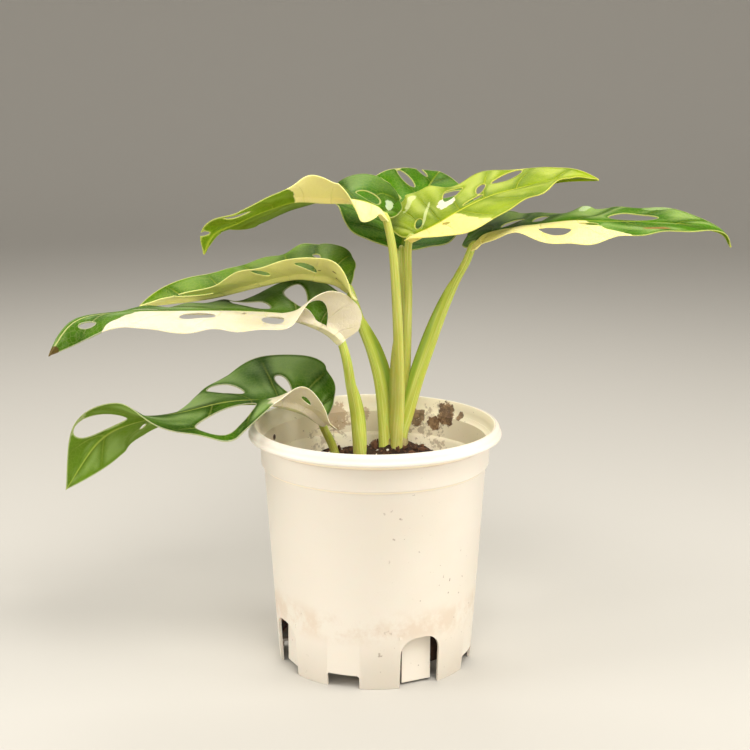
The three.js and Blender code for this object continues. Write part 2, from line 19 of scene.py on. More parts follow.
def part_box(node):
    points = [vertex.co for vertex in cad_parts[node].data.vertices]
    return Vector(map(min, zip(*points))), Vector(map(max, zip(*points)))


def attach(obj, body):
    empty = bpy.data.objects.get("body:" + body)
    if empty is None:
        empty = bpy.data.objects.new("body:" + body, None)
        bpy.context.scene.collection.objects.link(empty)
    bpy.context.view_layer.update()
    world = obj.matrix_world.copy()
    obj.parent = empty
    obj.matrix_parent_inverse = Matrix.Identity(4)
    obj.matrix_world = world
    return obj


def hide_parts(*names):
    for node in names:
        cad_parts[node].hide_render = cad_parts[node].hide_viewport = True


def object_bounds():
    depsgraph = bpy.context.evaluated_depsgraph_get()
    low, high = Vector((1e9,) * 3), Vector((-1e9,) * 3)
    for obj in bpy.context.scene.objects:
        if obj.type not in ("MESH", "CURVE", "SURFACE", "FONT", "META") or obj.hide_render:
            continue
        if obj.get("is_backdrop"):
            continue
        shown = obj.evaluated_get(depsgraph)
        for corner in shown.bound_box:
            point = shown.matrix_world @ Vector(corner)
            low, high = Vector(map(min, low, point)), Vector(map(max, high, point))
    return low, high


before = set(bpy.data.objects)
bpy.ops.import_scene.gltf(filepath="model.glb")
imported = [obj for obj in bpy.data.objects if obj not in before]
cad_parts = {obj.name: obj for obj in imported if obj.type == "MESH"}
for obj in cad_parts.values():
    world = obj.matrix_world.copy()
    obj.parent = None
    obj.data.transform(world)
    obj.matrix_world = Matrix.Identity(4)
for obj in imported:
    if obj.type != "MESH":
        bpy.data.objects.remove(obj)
measured_box = [list(corner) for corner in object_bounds()]
pot_low, pot_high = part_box("pot")
POT_AXIS = np.array([(pot_low.x + pot_high.x) / 2, (pot_low.y + pot_high.y) / 2, 0])
print("solids:", len(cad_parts), "pot axis:", POT_AXIS.round(4))

# %% [markdown]
# ## Camera
# The view is from about 80 cm away and 13 degrees down, so the far side of the pot's rim shows. A
# lens of 79 mm on a 36 mm sensor gives the narrow angle of a small studio picture.

# %% Camera
CAMERA_BACK = 0.785
CAMERA_HEIGHT = 0.3234
CAMERA_PITCH = 77.166
CAMERA_LENS = 78.72
CAMERA_SENSOR = 36


def add_to_scene(name, data):
    """An object in the scene for a mesh, a lamp or a camera"""
    thing = bpy.data.objects.new(name, data)
    bpy.context.scene.collection.objects.link(thing)
    return thing


camera_data = bpy.data.cameras.new("camera")
camera_data.lens = CAMERA_LENS
camera_data.sensor_width = CAMERA_SENSOR
camera = add_to_scene("camera", camera_data)
camera.location = (POT_AXIS[0], POT_AXIS[1] - CAMERA_BACK, CAMERA_HEIGHT)
camera.rotation_euler = (math.radians(CAMERA_PITCH), 0, 0)
bpy.context.scene.camera = camera
print("camera at", [round(v, 3) for v in camera.location])

# %% [markdown]
# ## Small tools
# Colours are written as six hex digits, as a paint chart does, and turned into the linear light
# that a renderer works with. `smooth_path` draws a curve through listed points. Then
# `lengths_along` measures along such a line and `read_line` gives places on it.

# %% Colour and curve tools
MM = 0.001


def paint(digits):
    """A colour from six hex digits, in linear light"""
    parts = [int(digits[i:i + 2], 16) / 255 for i in (0, 2, 4)]
    return tuple(c / 12.92 if c <= 0.04045 else ((c + 0.055) / 1.055) ** 2.4 for c in parts) + (1.0,)


def smooth_path(points, steps):
    """A curve through every point, with so many steps between two of them"""
    p = np.array(points, float)
    p = np.vstack([2 * p[0] - p[1], p, 2 * p[-1] - p[-2]])
    t = np.linspace(0, 1, steps, endpoint=False)[:, None]
    spans = []
    for a, b, c, d in zip(p, p[1:], p[2:], p[3:]):
        cubic = 2 * b + (c - a) * t + (2 * a - 5 * b + 4 * c - d) * t**2
        spans.append((cubic + (3 * b - a - 3 * c + d) * t**3) / 2)
    return np.vstack([*spans, p[-2:-1]])


def unit(vectors):
    return vectors / np.maximum(np.linalg.norm(vectors, axis=-1, keepdims=True), 1e-9)


def lengths_along(line):
    """How far each point of a line is from the first one, along the line"""
    return np.concatenate([[0], np.cumsum(np.linalg.norm(np.diff(line, axis=0), axis=1))])


def read_line(at, stations, line):
    """Places on a line, whose points stand at these stations"""
    return np.column_stack([np.interp(at, stations, column) for column in line.T])


def square_to(side, way):
    """For each row of way, the unit vector square to it that points most to the side"""
    side = np.array(side, float)
    return unit(side - way * (way @ side)[:, None])


def smoothstep(value, low, high):
    t = np.clip((value - low) / (high - low), 0, 1)
    return t * t * (3 - 2 * t)


print("cream in linear light:", [round(c, 2) for c in paint("f1ecc4")[:3]])

# %% Mesh tools
pieces = []


def ring_faces(rows, sides, turn_over=False):
    """Four-sided faces between rings that rise, or turned over for rings that widen"""
    faces = []
    for r in range(rows - 1):
        for i in range(sides):
            a, b = r * sides + i, r * sides + (i + 1) % sides
            rising, widening = (a, b, b + sides, a + sides), (a, a + sides, b + sides, b)
            faces.append(widening if turn_over else rising)
    return faces


def rod_faces(rows, sides):
    """The faces of a rod: the same, with a cap at both ends"""
    caps = [range(sides - 1, -1, -1), range((rows - 1) * sides, rows * sides)]
    return caps + ring_faces(rows, sides)


def make_piece(name, points, faces, tags=None, smooth_below=40):
    """A piece from points in millimetres round the pot's axis; tags are stored on its points"""
    mesh = bpy.data.meshes.new(name)
    places = np.array(points, float) * MM + POT_AXIS
    mesh.from_pydata(places.tolist(), [], [list(map(int, face)) for face in faces])
    for tag, values in (tags or {}).items():
        kind, field = ("FLOAT_VECTOR", "vector") if np.ndim(values) == 2 else ("FLOAT", "value")
        layer = mesh.attributes.new(tag, kind, "POINT")
        layer.data.foreach_set(field, np.asarray(values, np.float32).ravel())
    mesh.polygons.foreach_set("use_smooth", [True] * len(mesh.polygons))
    mesh.set_sharp_from_angle(angle=math.radians(smooth_below))
    return add_to_scene(name, mesh)


def dress(piece, finish, slot, *nodes):
    """Gives a piece its finish, fixes it to the model and hides the solids that it stands for"""
    if finish:
        piece.data.materials.clear()
        piece.data.materials.append(finish)
    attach(piece, "root")
    if nodes:
        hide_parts(*nodes)
    pieces.append(piece)
    triangles = sum(len(face.vertices) - 2 for face in piece.data.polygons)
    print(piece.name, "has", triangles, "triangles")


print("pieces so far:", len(pieces))

# %% [markdown]
# ## Finishes as sums
# A finish is a small graph of nodes. `Wire` wraps one value in that graph, so that `1 - mask` or
# `spots * 0.3` can be written as plain sums. `Finish.add` makes every other kind of node: its
# settings go in first, then the values or wires of its sockets.


# %% Wires and node graphs
class Wire:
    """One value in a node graph; Python's signs add Math nodes to it"""

    def __init__(self, graph, socket):
        self.graph = graph
        self.socket = socket

    def maths(self, operation, *others):
        values = dict(enumerate([self, *others]))
        return self.graph.add("ShaderNodeMath", {"operation": operation}, values)

    def __add__(self, other):
        return self.maths("ADD", other)

    def __sub__(self, other):
        return self.maths("SUBTRACT", other)

    def __mul__(self, other):
        return self.maths("MULTIPLY", other)

    def __truediv__(self, other):
        return self.maths("DIVIDE", other)

    def __rsub__(self, other):
        return self.graph.add("ShaderNodeMath", {"operation": "SUBTRACT"}, {0: other, 1: self})

    __radd__ = __add__
    __rmul__ = __mul__

    def least(self, other):
        return self.maths("MINIMUM", other)

    def size(self):
        return self.maths("ABSOLUTE")

    def rises(self, low, high):
        """0 below low, 1 above high, and a smooth slope between; low may be the larger one"""
        flip = low > high
        settings = {"interpolation_type": "SMOOTHSTEP"}
        values = {"Value": self, "From Min": min(low, high), "From Max": max(low, high)}
        step = self.graph.add("ShaderNodeMapRange", settings, values)
        return 1 - step if flip else step


class Graph:
    """A node tree, with one method that makes any node in it"""

    def __init__(self, tree):
        self.tree = tree
        tree.nodes.clear()

    def add(self, kind, settings=None, values=None, out=0):
        node = self.tree.nodes.new(kind)
        for name, setting in (settings or {}).items():
            setattr(node, name, setting)
        for key, value in (values or {}).items():
            self.feed(node.inputs[key], value)
        outputs = [socket for socket in node.outputs if socket.enabled]
        if not outputs:
            return node
        return Wire(self, node.outputs[out] if isinstance(out, str) else outputs[out])

    def feed(self, socket, value):
        if isinstance(value, Wire):
            self.tree.links.new(value.socket, socket)
        else:
            socket.default_value = value


print("signs that add nodes: + - * /")


# %% Finishes
class Finish(Graph):
    """A material made of nodes around one Principled shader"""

    def __init__(self, name):
        self.material = bpy.data.materials.new(name)
        self.material.use_nodes = True
        super().__init__(self.material.node_tree)
        self.place = self.add("ShaderNodeTexCoord", out="Object")

    def noise(self, scale, detail=3.0, rough=0.55, at=None):
        values = {"Vector": at or self.place, "Scale": scale, "Detail": detail, "Roughness": rough}
        return self.add("ShaderNodeTexNoise", None, values)

    def split(self, vector):
        """The three numbers of a vector"""
        node = self.add("ShaderNodeSeparateXYZ", None, {0: vector}).socket.node
        return [Wire(self, socket) for socket in node.outputs]

    def tag(self, name):
        """The three numbers that a mesh keeps on its points under this name"""
        return self.split(self.add("ShaderNodeAttribute", {"attribute_name": name}, out="Vector"))

    def mix(self, mask, under, over):
        """One colour over another where the mask is 1"""
        settings = {"data_type": "RGBA", "clamp_factor": True}
        node = self.add("ShaderNodeMix", settings, {0: mask, 6: under, 7: over}).socket.node
        return Wire(self, node.outputs[2])

    def bump(self, height, millimetres):
        return self.add("ShaderNodeBump", None, {"Height": height, "Distance": millimetres * MM})

    def finish(self, colour, roughness, normal=None, **constants):
        values = {"Base Color": colour, "Roughness": roughness, **constants}
        if normal:
            values["Normal"] = normal
        shader = self.add("ShaderNodeBsdfPrincipled", None, values)
        self.add("ShaderNodeOutputMaterial", None, {"Surface": shader})
        print("finish", self.material.name, "uses", len(self.tree.nodes), "nodes")
        return self.material


print("materials so far:", len(bpy.data.materials))

# %% [markdown]
# ## Floor and light
# A plain pale floor that curves up to a wall all round, like a photographer's sweep, so that no
# horizon cuts through the picture. Five large soft lights stand round the plant. The left and the
# right one make both sides of the pot bright and its middle a little darker. The ones in front and
# above soften the shadows on the leaves, and the one behind shines through their thin blades.

# %% Floor and backdrop
FLOOR_COLOUR = paint("c3bfb7")
SWEEP_START = 300
SWEEP_FLAT = 1500
SWEEP_CURVE = 900
SWEEP_TOP = 1900
SWEEP_SIDES = 96
SWEEP_STEPS = 14


def sweep_profile():
    """(radius, height) points: level floor, quarter circle, upright wall"""
    turns = np.linspace(0, math.pi / 2, SWEEP_STEPS)
    curve = [(SWEEP_FLAT + SWEEP_CURVE * math.sin(t), SWEEP_CURVE * (1 - math.cos(t)))
             for t in turns]
    return [(SWEEP_START, 0), *curve, (SWEEP_FLAT + SWEEP_CURVE, SWEEP_TOP)]


def sweep_shape():
    """The profile turned round the axis, with a disc in its middle"""
    angles = np.linspace(0, 2 * math.pi, SWEEP_SIDES, endpoint=False)
    profile = sweep_profile()
    points = [(r * math.cos(a), r * math.sin(a), z) for r, z in profile for a in angles]
    return points, [range(SWEEP_SIDES), *ring_faces(len(profile), SWEEP_SIDES, True)]


floor = make_piece("floor", *sweep_shape(), smooth_below=60)
floor_finish = Finish("floor_pale").finish(FLOOR_COLOUR, 0.8, **{"Specular IOR Level": 0.2})
floor.data.materials.append(floor_finish)
floor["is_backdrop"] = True
print("floor and backdrop are", 2 * (SWEEP_FLAT + SWEEP_CURVE) * MM, "m across")

# %% Lights
WARM = (1.0, 0.98, 0.94)
SOFT = (1.0, 0.98, 0.95)
LIGHTS = {
    # place and target in millimetres, size in metres, power in watts, colour
    "left": ((-880, -180, 430), (0, 0, 150), 0.5, 5.8, WARM),
    "right": ((900, -150, 430), (0, 0, 150), 0.45, 5.4, WARM),
    "above": ((160, -420, 800), (-20, 20, 120), 0.35, 4.6, WARM),
    "front": ((80, -1000, 520), (0, 0, 130), 0.8, 4.4, SOFT),
    "behind": ((-150, 620, 900), (0, 0, 200), 0.6, 4.4, WARM),
}
WORLD_LIGHT = 0.5

for name, (place, target, size, power, tint) in LIGHTS.items():
    lamp = bpy.data.lights.new(name, "AREA")
    lamp.shape = "SQUARE"
    lamp.size = size
    lamp.energy = power
    lamp.color = tint
    lamp_object = add_to_scene(name, lamp)
    way = np.array(target, float) - np.array(place)
    yaw = math.atan2(way[1], way[0]) - math.pi / 2
    tilt = math.pi / 2 + math.atan2(way[2], math.hypot(way[0], way[1]))
    lamp_object.rotation_euler = (tilt, 0, yaw)
    lamp_object.location = np.array(place) * MM + POT_AXIS

world = bpy.data.worlds.new("studio")
world.use_nodes = True
background = world.node_tree.nodes["Background"]
background.inputs["Color"].default_value = (*SOFT, 1.0)
background.inputs["Strength"].default_value = WORLD_LIGHT
bpy.context.scene.world = world
bpy.context.scene.view_settings.view_transform = "Standard"
print("lights:", ", ".join(LIGHTS))

# %% [markdown]
# ## The pot
# A thin white plastic nursery pot: a tapered wall, a step, a collar and a rolled rim, made by
# turning one profile round the axis. Four arched openings and four low notches repeat round the
# foot, with a recessed panel behind each arch. What repeats is made with Geometry Nodes: one
# rounded cutter, copied round a circle and taken out of the wall.

# %% Pot sizes
RIM_RADIUS = 62.5
RIM_TOP = 120.7
COLLAR_RADIUS = 56.8
STEP_HEIGHT = 100.2
FOOT_RADIUS = 48.4
STEP_RADIUS = 54.9
POT_WALL = 1.4
WALL_BEND = (50.3, 28)
FLOOR_RADIUS = 47.6
FLOOR_UNDERSIDE = 6.5
FLOOR_TOP = 8.0
POT_SIDES = 160
NEAR_AXIS = 0.01
REPEATS = 4
ARCH = {"turn": 26.5, "width": 20.8, "height": 25.6, "corner": 8.0}
NOTCH = {"turn": 71.4, "width": 16.6, "height": 7.0, "corner": 1.5}
PANEL_RADIUS = 44.6
PANEL_WIDTH = 15.4
PANEL_LIFT = 1.5
SHELF_RADIUS = 49.2
SHELF_THICKNESS = 1.6
print("pot is", 2 * RIM_RADIUS, "mm across and", RIM_TOP, "mm high")

# %% Turned wall of the pot


def rolled_rim():
    """The rim's round section, from its outer lower lip over the top to the inside"""
    lip = [(62.2, 115.1), (RIM_RADIUS, 115.6), (RIM_RADIUS, 116.3), (62.1, 117.0), (61.8, 117.4)]
    over = [(61.7, 118.3), (61.4, 119.3), (60.7, 120.3), (59.8, RIM_TOP), (58.9, 120.4), (58.3, 119.4)]
    return lip + over + [(57.7, 117.0), (57.3, 114.6)]


def pot_profile():
    """(radius, height) points of the wall, up the outside and down the inside"""
    collar_foot = STEP_HEIGHT + 1.3
    inner = COLLAR_RADIUS - POT_WALL
    outside = [(FOOT_RADIUS - 0.3, 0), (FOOT_RADIUS, 0.4), WALL_BEND, (STEP_RADIUS, STEP_HEIGHT - 0.4)]
    step = [(STEP_RADIUS + 0.4, STEP_HEIGHT + 0.3), (56.1, collar_foot - 0.4), (56.4, collar_foot + 0.3)]
    collar = [(COLLAR_RADIUS - 0.1, 113.6), (COLLAR_RADIUS + 0.3, 114.5), (61.0, 114.9)]
    inside = [(inner, 112.6), (inner - 0.4, collar_foot), (STEP_RADIUS - POT_WALL, STEP_HEIGHT - 0.6)]
    foot_inner = FOOT_RADIUS - POT_WALL
    foot = [(WALL_BEND[0] - POT_WALL, WALL_BEND[1]), (foot_inner, 0.4), (foot_inner + 0.3, 0)]
    return outside + step + collar + rolled_rim() + inside + foot


def turned(profile, sides):
    """A closed ring: the profile, as (radius, height) points, turned round the axis"""
    angles = np.linspace(0, 2 * math.pi, sides, endpoint=False)
    rows = [[(r * math.cos(a), r * math.sin(a), z) for r, z in profile] for a in angles]
    count = len(profile)
    faces = []
    for i in range(sides):
        for j in range(count):
            k = (j + 1) % count
            n = (i + 1) % sides
            faces.append((i * count + j, n * count + j, n * count + k, i * count + k))
    return [point for row in rows for point in row], faces


wall_points, wall_faces = turned(pot_profile(), POT_SIDES)
pot = make_piece("pot_shell", wall_points, wall_faces)
print("turned wall:", len(wall_faces), "faces")

# %% [markdown]
# ## Openings that repeat round the foot
# The tree below draws a rectangle, rounds its corners, fills it, pushes it out to a block and sets
# one copy on each corner of a four-sided circle. Its sizes are inputs, set by identifier. `Reach`
# moves the blocks inwards from that circle, so that one tree can cut the wall and the floor.


# %% Geometry node tools
class Shape(Graph):
    """A Geometry Nodes tree with named inputs, run once on a piece and turned into a mesh"""

    def __init__(self, name, inputs):
        tree = bpy.data.node_groups.new(name, "GeometryNodeTree")
        super().__init__(tree)
        tree.interface.new_socket("Geometry", in_out="INPUT", socket_type="NodeSocketGeometry")
        for label, kind in inputs.items():
            tree.interface.new_socket(label, in_out="INPUT", socket_type="NodeSocket" + kind)
        tree.interface.new_socket("Geometry", in_out="OUTPUT", socket_type="NodeSocketGeometry")
        self.start = tree.nodes.new("NodeGroupInput")

    def given(self, label):
        return Wire(self, self.start.outputs[label])

    def close(self, geometry, finish):
        real = self.add("GeometryNodeRealizeInstances", None, {"Geometry": geometry})
        painted = self.add("GeometryNodeSetMaterial", None, {"Geometry": real, "Material": finish})
        end = self.tree.nodes.new("NodeGroupOutput")
        self.feed(end.inputs[0], painted)

    def run(self, piece, **sizes):
        """Puts the tree on a piece, sets its inputs and keeps the result as the piece's mesh"""
        modifier = piece.modifiers.new(self.tree.name, "NODES")
        modifier.node_group = self.tree
        for socket in self.tree.interface.items_tree:
            label = socket.name.replace(" ", "_")
            if label in sizes:
                modifier[socket.identifier] = sizes[label]
        evaluated = piece.evaluated_get(bpy.context.evaluated_depsgraph_get())
        mesh = bpy.data.meshes.new_from_object(evaluated)
        piece.modifiers.remove(modifier)
        piece.data = mesh
        print(self.tree.name, "gives", len(mesh.polygons), "faces")
        return piece


print("a tree is closed with Realize Instances and Set Material")

# %% Pot finish
POT_WHITE = paint("e4dccf")
POT_DIM = paint("d2c8b4")
# A lighter colour for the inside of the wall: painted light
POT_INSIDE_PAINTED_LIGHT = paint("fff3da")
# Brown of the stains, and of the painted shade under the rim
STAIN_AND_SHADE = paint("b98a52")
SPECK = paint("6a4326")
DUST = paint("8a6f50")
CRUST = paint("a98660")
# From and to what height the wall spreads into the rim, and by how much
LIP = (112, 114, 3.2)
# The heights between which the painted light and the dirt of the inside, and the stain round the foot,
# come and go
INSIDE_FROM = (60, 64)
STAIN_BAND = (20, 29, 33, 43)
# Height of a brown line under the lip: partly a real stain, partly painted shade of the rolled rim
STAIN_AND_SHADE_LINE = 113.2
# Dust on the inside of the back wall: turn from the front in degrees, height, radius, noise scale
DUST_PLACES = ((150, 101, 15, 300), (205, 101, 13, 260))
# Flakes of dirt above it: turn, height, radius, strength, colour
FLAKES = {
    "tan patch": (203, 111, 9.5, 0.6, "b08752"),
    "tan streak": (187, 112, 4.5, 0.55, "a27c50"),
    "small flake": (156, 111, 4.5, 0.9, "6f5338"),
    "large flake": (138, 113, 6.5, 0.95, "5a3d28"),
    "flake foot": (146, 108, 4.5, 0.95, "63432c"),
    "flake tip": (130, 115, 3.2, 0.9, "6b4c33"),
    "crumb": (248, 107.5, 2.0, 1.0, "3d2a1c"),
}


def pot_plastic():
    """White plastic, stained outside, with painted shade under the rim, dirty and painted lighter inside
    """
    f = Finish("pot_plastic")
    x, y, height = (value / MM for value in f.split(f.place))
    cloud = f.noise(9, 4)
    # Ragged noise for the stains, the dirt and the painted shade under the rim
    grime_and_shade = f.noise(60, 5, 0.7)
    grain = f.noise(900, 2)
    colour = f.mix(cloud.rises(0.4, 0.75) * 0.4, POT_WHITE, POT_DIM)
    inside = inside_mask(x, y, height)
    # Painted light: the inside of the upper wall is painted a lighter cream than the outside
    colour = f.mix(inside, colour, POT_INSIDE_PAINTED_LIGHT)
    low, lower, upper, high = STAIN_BAND
    band = height.rises(low, lower) * height.rises(high, upper) * grime_and_shade.rises(0.38, 0.6)
    colour = f.mix(band * 0.24, colour, STAIN_AND_SHADE)
    # A brown line just under the lip: partly stain, partly painted shade under the rim
    line = (height - STAIN_AND_SHADE_LINE).size().rises(1.6, 0.2) * grime_and_shade.rises(0.3, 0.6)
    line = line * (1 - inside) * height.rises(LIP[0] - 1, LIP[0])
    colour = f.mix(line * 0.5, colour, STAIN_AND_SHADE)
    specks = f.noise(420, 2, 0.5).rises(0.7, 0.75) * cloud.rises(0.45, 0.6)
    colour = f.mix(specks * 0.6, colour, SPECK)
    dust = 0
    for turn, at_height, radius, scale in DUST_PLACES:
        spot = spot_mask(f, turn, at_height, radius, grime_and_shade)
        dust = spot * f.noise(scale, 4, 0.7).rises(0.5, 0.58) + dust
    colour = f.mix(dust * inside * 0.5, colour, DUST)
    crust = f.noise(240, 4, 0.7)
    bump = grain * 0.3 + cloud * 0.7
    for turn, at_height, radius, depth, digits in FLAKES.values():
        spot = spot_mask(f, turn, at_height, radius, grime_and_shade) * inside
        flake = f.mix(crust.rises(0.4, 0.65), paint(digits), CRUST)
        colour = f.mix(spot * crust.rises(0.3, 0.36) * depth, colour, flake)
        bump = bump + spot * crust * 3
    roughness = 0.4 + cloud * 0.12 + band * 0.2
    constants = {"Specular IOR Level": 0.4, "Subsurface Weight": 0.08, "Subsurface Scale": 0.002}
    return f.finish(colour, roughness, f.bump(bump, 0.08), **constants)


def inside_mask(x, y, height):
    """1 on the inside of the upper wall: nearer to the axis than the middle of the wall is"""
    slope = (STEP_RADIUS - FOOT_RADIUS) / STEP_HEIGHT
    middle = height.least(STEP_HEIGHT) * slope + (FOOT_RADIUS - POT_WALL / 2)
    step = height.rises(STEP_HEIGHT - 0.3, STEP_HEIGHT + 0.3)
    middle = middle + step * (COLLAR_RADIUS - STEP_RADIUS)
    middle = middle + height.rises(LIP[0], LIP[1]) * LIP[2]
    x = x - POT_AXIS[0] / MM
    y = y - POT_AXIS[1] / MM
    away = (x * x + y * y).maths("SQRT")
    return (away - middle).rises(0.2, -0.2) * height.rises(*INSIDE_FROM)


def spot_mask(f, turn, height, radius, ragged):
    """1 inside a ragged spot on the inside of the wall"""
    angle = math.radians(turn)
    inner = COLLAR_RADIUS - POT_WALL
    centre = np.array([inner * math.sin(angle), -inner * math.cos(angle), height]) * MM + POT_AXIS
    settings = {"operation": "DISTANCE"}
    away = f.add("ShaderNodeVectorMath", settings, {0: f.place, 1: tuple(centre)}, out="Value")
    away = away / MM + (ragged - 0.5) * (radius * 3)
    return away.rises(radius * 0.95, radius * 0.8)


pot_finish = pot_plastic()

# %% Openings of the pot
OPENING_SIZES = ("width", "height", "corner", "turn")
CORNER_POINTS = 7
CUTTER_RING = 60
CUTTER_DEPTH = 20


def opening_cutters(shape, word):
    """Blocks with rounded corners, one for each repeat, standing round the foot"""
    width, height, corner, turn = (shape.given(f"{word} {size}") for size in OPENING_SIZES)
    inward = shape.add("ShaderNodeCombineXYZ", None, {"X": shape.given("Reach") * -1})
    settings = {"mode": "RECTANGLE"}
    outline = shape.add("GeometryNodeCurvePrimitiveQuadrilateral", settings, {0: width, 1: height * 2})
    settings = {"mode": "POLY"}
    values = {"Curve": outline, "Radius": corner, "Count": CORNER_POINTS, "Limit Radius": True}
    outline = shape.add("GeometryNodeFilletCurve", settings, values)
    face = shape.add("GeometryNodeFillCurve", {"mode": "NGONS"}, {0: outline})
    values = {"Mesh": face, "Offset Scale": CUTTER_DEPTH * MM}
    block = shape.add("GeometryNodeExtrudeMesh", {"mode": "FACES"}, values)
    underside = shape.add("GeometryNodeFlipFaces", None, {0: face})
    block = shape.add("GeometryNodeJoinGeometry", None, {0: block})
    shape.tree.links.new(underside.socket, block.socket.node.inputs[0])
    block = shape.add("GeometryNodeMergeByDistance", None, {"Geometry": block})
    upright = {"Rotation": (math.pi / 2, 0, math.pi / 2), "Translation": inward}
    block = shape.add("GeometryNodeTransform", None, {"Geometry": block, **upright})
    values = {"Vertices": shape.given("Repeats"), "Radius": CUTTER_RING * MM}
    ring = shape.add("GeometryNodeMeshCircle", None, values)
    outward = shape.add("GeometryNodeInputPosition")
    facing = shape.add("FunctionNodeAlignRotationToVector", {"axis": "X"}, {"Vector": outward})
    values = {"Points": ring, "Instance": block, "Rotation": facing}
    blocks = shape.add("GeometryNodeInstanceOnPoints", None, values)
    blocks = shape.add("GeometryNodeRealizeInstances", None, {0: blocks})
    around = shape.add("ShaderNodeCombineXYZ", None, {"Z": turn})
    values = {"Geometry": blocks, "Rotation": around, "Translation": tuple(POT_AXIS)}
    return shape.add("GeometryNodeTransform", None, values)


def foot_openings():
    """The tree that takes both kinds of opening out of a wall or a floor"""
    labels = {f"{word} {size}": "Float" for word in ("Arch", "Notch") for size in OPENING_SIZES}
    shape = Shape("foot_openings", {"Repeats": "Int", "Reach": "Float", **labels})
    wall = shape.given("Geometry")
    for word in ("Arch", "Notch"):
        cutters = opening_cutters(shape, word)
        settings = {"operation": "DIFFERENCE", "solver": "EXACT"}
        cut = shape.add("GeometryNodeMeshBoolean", settings, {0: wall})
        shape.tree.links.new(cutters.socket, cut.socket.node.inputs[1])
        wall = Wire(shape, cut.socket.node.outputs[0])
    shape.close(wall, pot_finish)
    return shape


def opening_sizes(word, opening):
    """The inputs of one kind of opening, in metres and radians"""
    sizes = {f"{word}_{size}": opening[size] * MM for size in OPENING_SIZES[:3]}
    return {**sizes, f"{word}_turn": math.radians(opening["turn"] - 90)}


WALL_REACH = 15.2
FLOOR_REACH = 30
openings = foot_openings()
opening_inputs = {**opening_sizes("Arch", ARCH), **opening_sizes("Notch", NOTCH)}
openings.run(pot, Repeats=REPEATS, Reach=WALL_REACH * MM, **opening_inputs)

# %% [markdown]
# ## Floor and panels of the pot
# Behind each arch a flat panel stands further in, with a shelf over it, so a dark slit shows on
# both sides. The raised floor is a turned disc. The same tree cuts the openings out of it, the
# arches wider than in the wall, so that no edge of the floor shows through the slits.

# %% Inner parts of the pot
FLOOR_WIDENING = 1.7


def box_at(turn, radius_in, radius_out, half_width, low, high):
    """A box on the pot's wall, at a turn from the front"""
    angle = math.radians(turn)
    out = np.array([math.sin(angle), -math.cos(angle), 0])
    side = np.array([math.cos(angle), math.sin(angle), 0])
    corners = [out * r + side * s + np.array([0, 0, z]) for r in (radius_in, radius_out)
               for s in (-half_width, half_width) for z in (low, high)]
    faces = [(0, 1, 3, 2), (4, 6, 7, 5), (0, 4, 5, 1), (2, 3, 7, 6), (0, 2, 6, 4), (1, 5, 7, 3)]
    return corners, faces


def inner_parts():
    """A panel and a shelf behind each arch"""
    points, faces = [], []
    inner = PANEL_RADIUS - POT_WALL
    top = ARCH["height"] + SHELF_THICKNESS
    for k in range(REPEATS):
        turn = ARCH["turn"] + 360 / REPEATS * k
        panel = box_at(turn, inner, PANEL_RADIUS, PANEL_WIDTH / 2, PANEL_LIFT, top)
        shelf = box_at(turn, inner, SHELF_RADIUS, ARCH["width"] / 2 + 1, ARCH["height"], top)
        for corners, box_faces in (panel, shelf):
            first = len(points)
            points += [tuple(corner) for corner in corners]
            faces += [tuple(first + i for i in face) for face in box_faces]
    return points, faces


pot_inner = make_piece("pot_inner_parts", *inner_parts())
underside = [(NEAR_AXIS, FLOOR_UNDERSIDE), (FLOOR_RADIUS, FLOOR_UNDERSIDE)]
disc = [*underside, (FLOOR_RADIUS, FLOOR_TOP), (NEAR_AXIS, FLOOR_TOP)]
pot_floor = make_piece("pot_floor", *turned(disc, POT_SIDES))
opening_inputs["Arch_width"] = ARCH["width"] * FLOOR_WIDENING * MM
openings.run(pot_floor, Repeats=REPEATS, Reach=FLOOR_REACH * MM, **opening_inputs)
pot.data.polygons.foreach_set("use_smooth", [True] * len(pot.data.polygons))
pot.data.set_sharp_from_angle(angle=math.radians(35))
dress(pot, None, "pot", "pot")
dress(pot_inner, pot_finish, "pot")
dress(pot_floor, None, "pot")

# %% [markdown]
# ## The potting mix
# A coarse, dark mix of bark, fibre and white perlite fills the pot to about 25 mm under the rim
# and is heaped a little round the stalks. A finely divided surface gives the ground. The loose bits
# are scattered over it with Geometry Nodes, each turned and sized at random from a fixed seed.

# %% Ground of the mix
CROWN = (10.0, 29.0)
SOIL_EDGE = 94.0
SOIL_MOUND = 10.0
SOIL_SPREAD = 16.0
SOIL_SIDES = 96
SOIL_RINGS = 34
SOIL_FLOOR = 8.3
SOIL_SHOULDER = 30.0
LUMP_LENGTH = 9
LUMP_HEIGHT = 1.6


def mix_height(x, y):
    """Height of the mix: level at the wall, heaped round the stalks, lumpy all over"""
    away = math.hypot(x - CROWN[0], y - CROWN[1])
    mound = SOIL_MOUND * math.exp(-((away / SOIL_SPREAD) ** 2))
    lumps = noise.fractal((x / LUMP_LENGTH, y / LUMP_LENGTH, 2.0), 0.9, 2.1, 5) * LUMP_HEIGHT
    return SOIL_EDGE + mound + lumps


